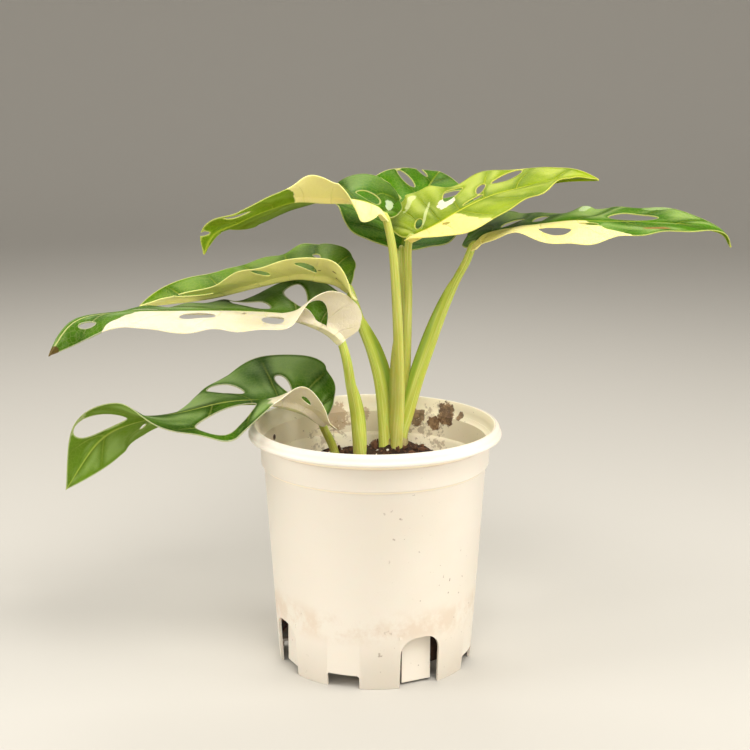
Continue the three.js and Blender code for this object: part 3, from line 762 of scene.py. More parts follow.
def mix_ground():
    """Rings from the axis out to the wall and down to the floor; no height means the surface"""
    wall = FOOT_RADIUS + (STEP_RADIUS - FOOT_RADIUS) * SOIL_EDGE / STEP_HEIGHT - POT_WALL - 0.25
    low = PANEL_RADIUS - POT_WALL - 0.3
    rows = [(NEAR_AXIS, None), *((wall * r / SOIL_RINGS, None) for r in range(1, SOIL_RINGS + 1))]
    rows += [(low, SOIL_SHOULDER), (low, SOIL_FLOOR), (NEAR_AXIS, SOIL_FLOOR)]
    angles = np.linspace(0, 2 * math.pi, SOIL_SIDES, endpoint=False)
    points = []
    for radius, height in rows:
        for a in angles:
            x, y = radius * math.cos(a), radius * math.sin(a)
            points.append((x, y, mix_height(x, y) if height is None else height))
    faces = ring_faces(len(rows), SOIL_SIDES, True)
    faces.append(range(SOIL_SIDES))
    faces.append(range(len(points) - 1, len(points) - SOIL_SIDES - 1, -1))
    return points, faces


ground = make_piece("potting_mix", *mix_ground(), smooth_below=60)
print("ground:", len(ground.data.polygons), "faces")

# %% Finishes of the mix


def mix_finish(name, colours, scale):
    """A rough, cloudy finish from a dark, a middle and a pale colour"""
    dark, mid, pale = (paint(digits) for digits in colours)
    f = Finish(name)
    tone = f.tag("tone")[0]
    cloud = f.noise(scale, 5, 0.65)
    colour = f.mix((cloud + tone * 0.45).rises(0.35, 0.75), dark, mid)
    colour = f.mix(f.noise(scale * 3, 3).rises(0.6, 0.8) * 0.5, colour, pale)
    normal = f.bump(f.noise(scale * 4, 4, 0.7), 0.5)
    return f.finish(colour, 0.78 + cloud * 0.2, normal, **{"Specular IOR Level": 0.3})


ground_finish = mix_finish("mix_fine", ("2a1b12", "4f3727", "7d5f45"), 180)
bark_finish = mix_finish("mix_bark", ("3a261a", "6f4d38", "a07a58"), 260)
perlite_finish = mix_finish("mix_perlite", ("b9ae9c", "e9e2d4", "f6f2ea"), 400)

# %% Loose bits scattered over the mix
LUMP_NOISE = 420.0
FULL_TURN = 6.28


def scatter_tree(name, finish, roundness):
    """Rough lumps on the level part of a mesh, each turned, sized and toned at random"""
    shape = Shape(name, {"Density": "Float", "Size": "Float", "Seed": "Int"})
    density, size, seed = (shape.given(label) for label in ("Density", "Size", "Seed"))

    def vectors(operation, values, out=0):
        return shape.add("ShaderNodeVectorMath", {"operation": operation}, values, out)

    def chance(kind, values):
        return shape.add("FunctionNodeRandomValue", {"data_type": kind}, values)

    normal = shape.add("GeometryNodeInputNormal", out="Normal")
    up = vectors("DOT_PRODUCT", {0: normal, 1: (0, 0, 1)}, "Value")
    top = shape.add("FunctionNodeCompare", {"operation": "GREATER_THAN"}, {0: up, 1: 0.5})
    values = {"Mesh": shape.given("Geometry"), "Selection": top, "Density": density, "Seed": seed}
    settings = {"distribute_method": "RANDOM"}
    points = shape.add("GeometryNodeDistributePointsOnFaces", settings, values, "Points")
    lump = shape.add("GeometryNodeMeshIcoSphere", None, {"Radius": size, "Subdivisions": 2}, "Mesh")
    rough = shape.add("ShaderNodeTexNoise", None, {"Scale": LUMP_NOISE, "Detail": 1.0}, "Color")
    centred = vectors("SUBTRACT", {0: rough, 1: (0.5, 0.5, 0.5)})
    push = vectors("SCALE", {0: centred, "Scale": size * (1.6 - roundness)})
    lump = shape.add("GeometryNodeSetPosition", None, {"Geometry": lump, "Offset": push})
    turn = chance("FLOAT_VECTOR", {0: (0, 0, 0), 1: (FULL_TURN, FULL_TURN, FULL_TURN), "Seed": 3})
    low = 0.35 if roundness < 0.5 else 0.5
    scale = chance("FLOAT_VECTOR", {0: (low, low, low * 0.7), 1: (1.5, 1.0, 0.8), "Seed": 5})
    values = {"Points": points, "Instance": lump, "Rotation": turn, "Scale": scale}
    bits = shape.add("GeometryNodeInstanceOnPoints", None, values)
    tone = chance("FLOAT", {2: 0.0, 3: 1.0, "Seed": 9})
    tone = shape.add("ShaderNodeCombineXYZ", None, {0: tone})
    settings = {"data_type": "FLOAT_VECTOR", "domain": "INSTANCE"}
    values = {"Geometry": bits, "Name": "tone", "Value": tone}
    bits = shape.add("GeometryNodeStoreNamedAttribute", settings, values)
    shape.close(bits, finish)
    return shape


BITS = {
    # name: (finish, roundness, bits per square metre, size in mm, seed)
    "bark_clumps": (bark_finish, 0.1, 2600, 3.6, 16),
    "bark_chips": (bark_finish, 0.2, 14000, 2.3, 11),
    "bark_crumbs": (bark_finish, 0.4, 60000, 0.8, 12),
    "perlite": (perlite_finish, 0.9, 9000, 0.8, 13),
}
for name, (finish, roundness, density, size, seed) in BITS.items():
    bits = add_to_scene(name, ground.data.copy())
    scatter = scatter_tree(name + "_scatter", finish, roundness)
    scatter.run(bits, Density=density, Size=size * MM, Seed=seed)
    dress(bits, None, "soil")
dress(ground, ground_finish, "soil", "soil")

# %% [markdown]
# ## How a leaf bends
# A leaf blade is drawn flat first, along its midrib and across it, and then bent: the midrib is
# a curve in space and each half is lifted out of level by an angle that changes along the leaf.
# The numbers are the same as those of the measured model, so each fine blade lies on its solid.

# %% Outlines of half a blade
# [basal lobe lengths, leaf lengths, half widths], from the base to the tip
BROAD_HALF = [
    (0, 0, 0), (-0.62, 0, 0.14), (-1, 0, 0.42), (-0.75, 0, 0.74), (0, 0.1, 0.95), (0, 0.26, 1),
    (0, 0.44, 0.93), (0, 0.62, 0.74), (0, 0.78, 0.47), (0, 0.9, 0.21), (0, 1, 0),
]
LATE_HALF = [
    (0, 0, 0), (-0.5, 0, 0.1), (-0.9, 0, 0.28), (-0.3, 0.03, 0.45), (0, 0.12, 0.6), (0, 0.26, 0.8),
    (0, 0.44, 1), (0, 0.62, 0.9), (0, 0.78, 0.6), (0, 0.9, 0.28), (0, 1, 0),
]
NARROW_BASE_HALF = [
    (0, 0, 0), (-0.3, 0, 0.12), (-0.3, 0, 0.3), (0, 0.06, 0.48), (0, 0.14, 0.62), (0, 0.26, 0.88),
    (0, 0.44, 1), (0, 0.62, 0.85), (0, 0.78, 0.55), (0, 0.9, 0.25), (0, 1, 0),
]
LIFT_STATIONS = [0, 0.12, 0.24, 0.4, 0.6, 0.8, 1]
MIDRIB_STEPS = 60
WAVE_HEIGHT = 0.8
WAVE_LENGTH = 23
print("points of an outline:", len(BROAD_HALF), len(LATE_HALF), len(NARROW_BASE_HALF))

# %% [markdown]
# ## The seven leaves
# Each leaf has its midrib from the stalk to the tip, the level direction of its first half, the
# two halves, its holes as (half, along, across, half length, half width, turn in degrees), and the
# path, radii and sheath of its stalk.

# %% Leaf measures
LEAVES = {
    "low_left": {
        "midrib": [(-27, 10, 119), (-34, 6, 125), (-45, 1, 130), (-57, -5, 133), (-73, -13, 134),
            (-94, -22, 131), (-115, -24, 128), (-132, -27, 119), (-149, -27, 94)],
        "first_side": (0, -1, 0), "lobe": 7,
        "first": {"outline": LATE_HALF, "width": 27, "lift": [20, 54, 15, -30, 8, 68, 64]},
        "second": {"outline": BROAD_HALF, "width": 41, "lift": [29, 22, 4, -8, -21, -51, -100]},
        "holes": [("first", 58, 13, 17, 7.4, 20), ("first", 15, 8, 3.4, 1.4, 26),
            ("first", 113, 7.5, 11, 5.4, 18), ("second", 45, 24, 13.5, 4.6, 70),
            ("second", 20, 16, 7, 2.4, 76), ("second", 98, 14, 3, 1.3, 64)],
        "path": [(-19.5, 29, 91), (-21, 27, 98.9), (-23, 24, 105.1), (-25, 20, 110.5),
            (-26.4, 14, 115.6)],
        "radii": (2.3, 1.9),
        "sheath": None,
    },
    "white_left": {
        "midrib": [(-16.5, 3, 160.5), (-23.5, 2, 167), (-34, -1, 172.5), (-46, -4, 176),
            (-65, -11, 178.5), (-93, -19, 180), (-121, -26, 180.5), (-140, -33, 177.5),
            (-152.5, -37, 162)],
        "first_side": (0, -1, 0), "lobe": 2,
        "first": {"outline": LATE_HALF, "width": 39, "lift": [90, 60, 4, -2, -4, -11, -90]},
        "second": {"outline": BROAD_HALF, "width": 44, "lift": [16, 20, -2, -6, -8, -10, 25]},
        "holes": [("first", 19, 9, 13, 3.6, 52), ("first", 43, 16, 7.5, 5.4, 65),
            ("first", 54, 5, 2.8, 1, 63), ("first", 77, 10, 9, 6.2, 17),
            ("first", 130, 7, 4.8, 2.2, 137), ("second", 42, 27, 17, 5.5, 75),
            ("second", 24, 23, 12, 4.4, 82), ("second", 100, 15, 8, 3, 40)],
        "path": [(-6.9, 22, 91), (-7.9, 20, 100.9), (-9.6, 17, 120.3), (-12.2, 10, 138),
            (-13.9, 5, 150.5)],
        "radii": (3.4, 2.1),
        "sheath": {"side": (1, 0.3, 0), "from": 0.1, "to": 0.62, "width": 1.6},
    },
    "mid_left": {
        "midrib": [(-13, 20, 184.3), (-19, 19, 188.3), (-28, 18, 190.3), (-39, 18, 191.3),
            (-56, 20, 187.3), (-80, 24, 180.3), (-98, 30, 176.3), (-120, 37, 172.3)],
        "first_side": (0, -1, 0), "lobe": 2,
        "first": {"outline": BROAD_HALF, "width": 29, "lift": [1, 28, 23, 23, 19, 22, 22]},
        "second": {"outline": BROAD_HALF, "width": 45, "lift": [15, 14, 10, 8, 11, 25, 60]},
        "holes": [("first", 22, 14, 9, 2.2, 66), ("first", 41, 17, 8.4, 2.5, 75),
            ("first", 77, 11, 9.5, 3.4, 30), ("second", 18, 27, 4, 2, 60),
            ("second", 36, 14, 8, 3, 65), ("second", 55, 12, 7, 3, 55)],
        "path": [(5.6, 25, 91), (5.3, 26, 103.7), (4.1, 27, 121.7), (2, 26, 137.1), (-2, 24, 152.3),
            (-6.5, 22, 164.5), (-10.4, 21, 176.8)],
        "radii": (3.7, 2),
        "sheath": {"side": (1, -0.3, 0), "from": 0.12, "to": 0.8, "width": 4},
    },
    "top_left": {
        "midrib": [(5, -3, 223), (1, -3, 228), (-10, -5, 231.5), (-24, -8, 232), (-38, -15.5, 233),
            (-52.5, -27, 229.5), (-64, -37, 225), (-74, -40, 220), (-79, -37, 210)],
        "first_side": (0, -1, 0), "lobe": 5,
        "first": {"outline": NARROW_BASE_HALF, "width": 23, "lift": [0, -36, 16, 29, 20, 24, 86]},
        "second": {"outline": BROAD_HALF, "width": 47, "lift": [12, 8, -6, -22, -13, -8, -21]},
        "holes": [("second", 10, 10, 9, 4.2, 75), ("first", 83, 7, 6, 1.8, 15),
            ("first", 97, 3.5, 2.4, 1, 60)],
        "path": [(10.6, 23, 91), (11.2, 22, 107.7), (12.1, 20, 127), (11.7, 12, 154.6),
            (10.8, 6, 175.9), (9.2, 0, 200.6), (7.7, -2, 211.6)],
        "radii": (3.2, 1.9),
        "sheath": {"side": (-1, 0.5, 0), "from": 0.1, "to": 0.5, "width": 2.4},
    },
    "top_right": {
        "midrib": [(17, 9.5, 211), (24, 9.5, 214.5), (31, 10.5, 218), (41.5, 12.5, 224), (55, 16, 230),
            (71, 20, 234), (91, 25, 237.5), (111, 29, 237.5)],
        "first_side": (0, -1, 0), "lobe": 7,
        "first": {"outline": NARROW_BASE_HALF, "width": 37, "lift": [7, -7, -13, -6, 0, 10, 9]},
        "second": {"outline": BROAD_HALF, "width": 43, "lift": [20, 21, 17, 11, 13, 14, 38]},
        "holes": [("second", 7, 9, 5, 2.4, 72), ("second", 33, 25, 11, 4, 52),
            ("second", 45, 15, 6, 2.1, 61), ("second", 61, 21, 10.4, 3.8, 26),
            ("second", 37, 5, 6, 1.7, 15), ("first", 18, 6, 3, 1.3, 66)],
        "path": [(11.6, 31, 91), (12.1, 30, 105.6), (14.8, 29, 124.9), (15.9, 24, 152),
            (16.4, 18, 178.7), (16.2, 13, 194.6), (16.1, 10, 203.9)],
        "radii": (2.9, 1.8),
        "sheath": None,
    },
    "far_right": {
        "midrib": [(48, 12, 207), (53, 12, 212), (61, 9, 215), (76, 4, 218), (94, -2, 221),
            (106, -5, 221), (126, -8, 221), (149, -11, 220), (164, -13, 217), (169, -14, 210)],
        "first_side": (0, -1, 0), "lobe": 5,
        "first": {"outline": NARROW_BASE_HALF, "width": 32, "lift": [-2, -3, 3, -12, -6, -4, 2]},
        "second": {"outline": BROAD_HALF, "width": 42, "lift": [1, 0, -3, 1, 5, 13, 5]},
        "holes": [("second", 18, 17, 12, 3.6, 80), ("second", 32, 19, 7.8, 2.9, 82),
            ("second", 81, 9, 12, 6.6, 172), ("first", 46, 14, 8.5, 5, 20),
            ("first", 60, 4.5, 4.8, 1.8, 8)],
        "path": [(13.4, 29, 91), (13.8, 28, 106.1), (16.9, 28, 117.2), (22.3, 26, 136.8),
            (27.2, 24, 152), (33.4, 20, 171.2), (39.6, 16, 187.9), (44.7, 13, 198.5)],
        "radii": (3, 1.9),
        "sheath": {"side": (-1, -0.3, 0), "from": 0.15, "to": 0.82, "width": 3.6},
    },
    "back": {
        "midrib": [(13.5, 46, 199.5), (15, 58, 204.5), (18, 75, 211), (24, 100, 217.5), (32, 130, 226),
            (37, 151, 229)],
        "first_side": (-1, 0, 0), "lobe": 4,
        "first": {"outline": BROAD_HALF, "width": 39, "lift": [26, 25, 13, 7, 14, 23, 20]},
        "second": {"outline": BROAD_HALF, "width": 35, "lift": [20, 20, 18, 12, 5, 0, 0]},
        "holes": [("first", 60, 18, 9, 3.5, 60), ("first", 78, 13, 8, 3, 50),
            ("first", 96, 8, 6, 2.2, 40), ("second", 30, 16, 8, 3.5, 70), ("second", 50, 18, 9, 4, 60),
            ("second", 70, 14, 8, 3.5, 50)],
        "path": [(11, 37, 91), (11.4, 37, 103.7), (12.9, 39, 122.5), (14, 41, 148.6),
            (14.2, 42.5, 174.3), (14, 43, 189)],
        "radii": (2.6, 1.8),
        "sheath": None,
    },
}
print("leaves:", ", ".join(LEAVES))


# %% Bending a leaf
def station_value(values, t):
    """A smooth value between the lift stations, level at both ends"""
    at, v = np.array(LIFT_STATIONS), np.array(values, float)
    slope = np.zeros(len(v))
    slope[1:-1] = (v[2:] - v[:-2]) / (at[2:] - at[:-2])
    k = np.clip(np.searchsorted(at, t, side="right") - 1, 0, len(at) - 2)
    span = at[k + 1] - at[k]
    u = (t - at[k]) / span
    start = (2 * u**3 - 3 * u**2 + 1) * v[k] + (u**3 - 2 * u**2 + u) * span * slope[k]
    return start + (3 * u**2 - 2 * u**3) * v[k + 1] + (u**3 - u**2) * span * slope[k + 1]


class Bend:
    """Takes places on the flat blade, along and across its midrib, to places in space"""

    def __init__(self, leaf):
        self.leaf = leaf
        self.line = smooth_path(leaf["midrib"], MIDRIB_STEPS)
        self.at = lengths_along(self.line)
        self.length = self.at[-1]
        self.way = unit(np.gradient(self.line, axis=0))
        self.up = 1 if self.frame(np.zeros(1))[2][0, 2] > 0 else -1

    def frame(self, along):
        """Places on the midrib, the level direction across it there, and the one square to both"""
        inside = np.clip(along, 0, self.length)
        way = unit(read_line(inside, self.at, self.way))
        origin = read_line(inside, self.at, self.line) + way * (along - inside)[:, None]
        side = square_to(self.leaf["first_side"], way)
        return origin, side, np.cross(way, side)

    def points(self, along, across):
        """Where places on the flat blade lie on the bent one"""
        origin, side, normal = self.frame(along)
        t = np.clip(along / self.length, 0, 1)
        first = across >= 0
        lift = [station_value(self.leaf[half]["lift"], t) for half in ("first", "second")]
        lift = np.radians(np.where(first, *lift))
        width = np.where(first, self.leaf["first"]["width"], self.leaf["second"]["width"])
        wave = WAVE_HEIGHT * (across / width) ** 2 * np.sin(2 * math.pi * along / WAVE_LENGTH)
        level = np.cos(lift) * across - np.sin(lift) * wave * np.sign(across)
        raised = np.sin(lift) * np.abs(across) + np.cos(lift) * wave
        return origin + side * level[:, None] + normal * (raised * self.up)[:, None]

    def normals(self, along, across):
        """The directions square to the bent blade, on its upper side"""
        step = 0.5
        a = self.points(along + step, across) - self.points(along - step, across)
        b = self.points(along, across + step) - self.points(along, across - step)
        return unit(np.cross(a, b)) * self.up


bends = {name: Bend(leaf) for name, leaf in LEAVES.items()}
print("leaf lengths in mm:", {name: round(float(bend.length)) for name, bend in bends.items()})

# %% [markdown]
# ## Cutting a blade
# The flat outline, the holes and the midrib are joined with evenly spaced inner points to
# triangles by a Delaunay triangulation, which keeps the cut edges sharp and the faces even. A
# grid of squares would leave steps at the holes.

# %% Margin, holes and triangles of a blade
BLADE_SPACING = 1.9
MARGIN_STEPS = 14
HOLE_POINTS = 30
HOLE_CLEARANCE = 1.5
EDGE_CLEARANCE = 0.7
RIB_LINES = (0.6, 1.2, 1.9, 2.8)


def margin_of(leaf, half, length):
    """The edge of half a flat blade, from the stalk to the tip"""
    outline = [(lobes * leaf["lobe"] + lengths * length, widths * leaf[half]["width"])
               for lobes, lengths, widths in leaf[half]["outline"]]
    return smooth_path(outline, MARGIN_STEPS)


def hole_ring(hole):
    """A hole's edge: an oval with one end a little more pointed, kept clear of the midrib"""
    half, along, across, length, width, turn = hole
    t = np.linspace(0, 2 * math.pi, HOLE_POINTS, endpoint=False)
    x, y = length * np.cos(t), width * np.sin(t) * (1 + 0.16 * np.cos(t))
    c, s = math.cos(math.radians(turn)), math.sin(math.radians(turn))
    sign = 1 if half == "first" else -1
    away = np.maximum(across + x * s + y * c, HOLE_CLEARANCE)
    return np.column_stack([along + x * c - y * s, sign * away])


def within(ring, points):
    """Which points lie inside a closed ring"""
    x, y = points[:, :1], points[:, 1:2]
    a, b = ring, np.roll(ring, -1, axis=0)
    rise = np.where(b[:, 1] == a[:, 1], 1e-9, b[:, 1] - a[:, 1])
    crosses = (a[:, 1] > y) != (b[:, 1] > y)
    left = x < (b[:, 0] - a[:, 0]) * (y - a[:, 1]) / rise + a[:, 0]
    return (crosses & left).sum(1) % 2 == 1


def search_tree(places):
    """Finds the nearest of many flat places fast"""
    tree = kdtree.KDTree(len(places))
    for i, (x, y) in enumerate(places):
        tree.insert((x, y, 0), i)
    tree.balance()
    return tree


def nearest(rings, points):
    """How far each point is from the nearest cut edge"""
    tree = search_tree(np.vstack([smooth_path(np.vstack([ring, ring[:1]]), 4) for ring in rings]))
    return np.array([tree.find((x, y, 0))[2] for x, y in points])


def on_blade(rings, points):
    """Which points lie inside the margin, the first ring, and in no hole"""
    keep = within(rings[0], points)
    for ring in rings[1:]:
        keep &= ~within(ring, points)
    return keep


def cut_blade(leaf, length):
    """Flat points, triangles and the distance of each point from the nearest cut edge"""
    first, second = (margin_of(leaf, half, length) for half in ("first", "second"))
    margin = np.vstack([first, second[-2:0:-1] * (1, -1)])
    rings = [margin, *(hole_ring(hole) for hole in leaf["holes"])]
    points, edges = np.vstack(rings), []
    start = 0
    for ring in rings:
        edges += [(start + i, start + (i + 1) % len(ring)) for i in range(len(ring))]
        start += len(ring)
    midrib = np.arange(BLADE_SPACING, length - 1, BLADE_SPACING)
    chain = [0, *range(start, start + len(midrib)), len(first) - 1]
    edges += list(zip(chain, chain[1:]))
    points = np.vstack([points, np.column_stack([midrib, midrib * 0])])
    inner = inner_points(leaf, length)
    inner = inner[on_blade(rings, inner) & (nearest(rings, inner) > EDGE_CLEARANCE)]
    points = np.vstack([points, inner])
    cut = delaunay_2d_cdt([tuple(p) for p in points], edges, [], 0, 1e-4)
    flat, triangles = np.array([tuple(p) for p in cut[0]]), np.array(cut[2])
    triangles = triangles[on_blade(rings, flat[triangles].mean(1))]
    used, triangles = np.unique(triangles, return_inverse=True)
    flat = flat[used]
    return flat, triangles.reshape(-1, 3), nearest(rings, flat)


def inner_points(leaf, length):
    """Evenly spaced points over the whole blade, with closer rows beside the midrib"""
    reach = max(leaf["first"]["width"], leaf["second"]["width"])
    row_gap = BLADE_SPACING * math.sqrt(3) / 2
    rows = []
    for k in range(int(reach / row_gap) + 2):
        along = np.arange(-20, length, BLADE_SPACING) + (k % 2) * BLADE_SPACING / 2
        rows.append((along, RIB_LINES[-1] + BLADE_SPACING + k * row_gap))
    rows += [(np.arange(-2, length - 2, BLADE_SPACING), across) for across in RIB_LINES]
    return np.vstack([np.column_stack([along, along * 0 + sign * across])
                      for along, across in rows for sign in (-1, 1)])


flat, triangles, edge = cut_blade(LEAVES["low_left"], bends["low_left"].length)
print("low left blade, one face:", len(triangles), "triangles")

# %% [markdown]
# ## Veins
# Side veins leave the midrib in turn, bend towards the tip and end at the margin. The place of a
# point between two veins is kept on the mesh, as the row it lies in and its reach from midrib to
# margin, so that one finish can draw veins, cream and bulges along them on every leaf.

# %% Rows and reach of each point
VEIN_CURVE = 0.42
FOOT_POWER = 2.2
VEIN_ROWS = 240
VEIN_STEPS = 36


def vein_grid(leaf, half, length):
    """Samples of a half blade along its side veins: row, reach and place"""
    margin = margin_of(leaf, half, length)
    row = np.linspace(0, 1, VEIN_ROWS)
    end = read_line(row, np.linspace(0, 1, len(margin)), margin)
    foot = length * row**FOOT_POWER
    reach = np.linspace(0, 1, VEIN_STEPS)[None, :]
    bent = (1 - VEIN_CURVE) * reach + VEIN_CURVE * reach**2
    x = foot[:, None] + (end[:, :1] - foot[:, None]) * bent
    y = end[:, 1:] * reach
    row, reach = np.repeat(row, VEIN_STEPS), np.tile(reach[0], VEIN_ROWS)
    return np.column_stack([row, reach, x.ravel(), y.ravel()])


def rows_and_reach(leaf, length, flat):
    """Row and reach of flat points, from the four nearest samples of their half"""
    found = np.zeros((len(flat), 2))
    for half, sign in (("first", 1), ("second", -1)):
        grid = vein_grid(leaf, half, length)
        tree = search_tree(grid[:, 2:])
        for i in np.nonzero(flat[:, 1] * sign >= 0)[0]:
            near = tree.find_n((flat[i, 0], abs(flat[i, 1]), 0), 4)
            weights = np.array([1 / (distance + 0.05) for _, _, distance in near])
            found[i] = weights @ grid[[index for _, index, _ in near], :2] / weights.sum()
    return found


rows = rows_and_reach(LEAVES["low_left"], bends["low_left"].length, flat)
print("rows run from", rows[:, 0].min().round(2), "to", rows[:, 0].max().round(2))

# %% Blade meshes
BLADE_MIDDLE = 0.75
BLADE_EDGE = 0.4
RIB_DEPTH = 2.6
RIB_HALF_WIDTH = 2.2
SIDE_VEINS = 9
BULGE = 0.5
GROOVE_DEPTH = 0.45
GROOVE_WIDTH = 0.9
RIPPLE_LENGTH = 17
RIPPLE_HEIGHT = 1.3


def blade_shape(name):
    """A blade with both its faces: bulged between the veins, grooved above and ribbed below"""
    leaf, bend = LEAVES[name], bends[name]
    flat, triangles, edge = cut_blade(leaf, bend.length)
    along, across = flat.T
    row, reach = rows_and_reach(leaf, bend.length, flat).T
    normals = bend.normals(along, np.where(across == 0, 1e-3, across))
    share = np.clip(along / bend.length, 0, 1)
    narrow = RIB_HALF_WIDTH * (1 - 0.6 * share)
    rib = RIB_DEPTH * (1 - 0.75 * share) * np.sqrt(np.clip(1 - (across / narrow) ** 2, 0, 1))
    groove = GROOVE_DEPTH * np.exp(-((across / GROOVE_WIDTH) ** 2)) * (1 - 0.5 * share)
    bulge = BULGE * np.abs(np.sin(math.pi * SIDE_VEINS * row)) ** 0.7
    bulge = bulge * smoothstep(reach, 0, 0.25) * smoothstep(edge, 0, 5)
    places = [(x / RIPPLE_LENGTH, y / RIPPLE_LENGTH, len(name)) for x, y in flat]
    ripple = np.array([noise.noise(place) for place in places])
    lie = bulge + ripple * smoothstep(np.abs(across), 2, 18) * RIPPLE_HEIGHT
    half_thick = (BLADE_EDGE + (BLADE_MIDDLE - BLADE_EDGE) * smoothstep(edge, 0, 2)) / 2
    middle = bend.points(along, across) + normals * lie[:, None]
    upper = middle + normals * (half_thick - groove)[:, None]
    under = middle - normals * (half_thick + rib)[:, None]
    tags = {
        "flat": stack_tags(along, across, edge * 0, edge * 0 + 1),
        "veins": stack_tags(np.clip(row, 0, 1) ** FOOT_POWER, row, reach, reach),
        "rim": stack_tags(edge, edge * 0, edge * 0, edge * 0),
    }
    return np.vstack([upper, under]), slab_faces(triangles, len(flat), bend.up), tags


def stack_tags(x, y, z_upper, z_under):
    """Three numbers for each point of the upper face, then for the lower one"""
    return np.vstack([np.column_stack([x, y, z]) for z in (z_upper, z_under)])


def slab_faces(triangles, count, up):
    """Upper faces, lower faces turned over, and a strip along every open edge"""
    upper = triangles if up > 0 else triangles[:, ::-1]
    directed = {(a, b) for tri in upper.tolist() for a, b in zip(tri, tri[1:] + tri[:1])}
    strip = [(b, a, a + count, b + count) for a, b in sorted(directed) if (b, a) not in directed]
    return upper.tolist() + (upper[:, ::-1] + count).tolist() + strip


print("blade thickness in mm:", BLADE_EDGE, "to", BLADE_MIDDLE)

# %% [markdown]
# ## Leaf finish
# Cream and green meet along the side veins and the midrib. The cream starts at the stalk and ends
# at a share of the leaf's length. The finish is built up in layers: green with a deeper tone in
# clouds and painted shade towards each vein, painted streaks of glare between the veins, cream with
# green freckles, pale veins and midrib, a thin pale rim, a duller underside, the marks of age, a
# white patch and a few painted highlights. Light passes a little way into the thin blade, which a
# subsurface share gives.

# %% Leaf colours
LEAF_COLOURS = {
    # deep green, also painted as shade towards the veins, main green, underside, cream, midrib, painted
    # glare between the veins
    "green": ("26440b", "4b7316", "7f9a2f", "ebe2c6", "b0bb5a", "93ad6a"),
    "white": ("264409", "4e7514", "7f9a2c", "ddd3b8", "c9c986", "8fa870"),
    "yellow": ("2e5206", "5b800e", "d2cf62", "f0ec98", "d0cb58", "93a860"),
    "pale": ("204404", "447605", "8fa61e", "f0e698", "c4c94a", "a8bd70"),
    "lime": ("5f7806", "90a30a", "a6b020", "efdf80", "cfcd40", "c8d068"),
}
CREAM_SHADE = paint("d8c58e")
LEAF_LOOKS = {
    # name: colours, how much glare, how clear the veins, where the cream of the first half ends
    "low_left": ("green", 0.75, 0.25, 0.22),
    "white_left": ("white", 0.6, 0.25, 0.66),
    "mid_left": ("yellow", 0.3, 0.2, 1.1),
    "top_left": ("pale", 0.25, 0.15, 0.44),
    "top_right": ("lime", 0.45, 0.22, 0.25),
    "far_right": ("pale", 0.5, 0.15, 0.45),
    "back": ("pale", 0.1, 0.1, None),
}
NET_SCALE = 420.0
# Marks on a blade, of age and painted highlights: half, along, across, half length, half width, turn,
# colour, strength
LEAF_MARKS_AND_HIGHLIGHTS = {
    "top_right": [
        ("second", 26, 15, 6.6, 4.8, 48, "e6dcbc", 0.95),
        # Two painted highlights: streaks of glare on the second half
        ("second", 9, 33, 9.2, 2.7, 37, "d3da96", 0.75),
        ("second", 14, 15, 13.6, 1.0, 61, "d0d892", 0.75),
    ],
    # Painted highlight: glare on the base of the second half
    "top_left": [("second", 2, 15, 8.5, 2.3, 91, "c9d6b4", 0.75)],
    "far_right": [
        ("first", 91, 15.5, 6.5, 2.2, 5, "94683c", 0.8),
        # Two painted highlights on the glossy second half
        ("second", 53, 31, 10.8, 2.4, 88, "bccf9c", 0.7),
        ("second", 93, 23, 8, 3.5, 172, "a3bb78", 0.6),
    ],
    "white_left": [("first", 152, 1, 3.5, 3, 0, "5a4426", 0.9)],
    "mid_left": [
        ("first", 8, 8, 1.2, 1.1, 0, "6d5426", 0.9),
        ("first", 11, 15, 1.0, 0.8, 0, "6d5426", 0.8),
        ("first", 17, 11, 0.8, 0.7, 0, "6d5426", 0.7),
    ],
}


def cream_mask(f, share, across, end):
    """1 on the cream of the first half, with an end that wanders along the veins"""
    wander = (f.noise(55, 3) - 0.5) * 0.09
    place = share + wander
    return across.rises(-0.15, 0.15) * place.rises(end + 0.004, end - 0.004)


def mark_mask(f, along, across, mark):
    """1 inside an oval on the flat blade, with a soft edge"""
    half, x, y, length, width, turn = mark[:6]
    c, s = math.cos(math.radians(turn)), math.sin(math.radians(turn))
    dx = along - x
    dy = (across if half == "first" else 0 - across) - y
    u = (dx * c + dy * s) / length
    v = (dy * c - dx * s) / width
    ragged = f.noise(260, 3, 0.6) - 0.5
    return (u * u + v * v + ragged * 1.8).rises(1.1, 0.75)


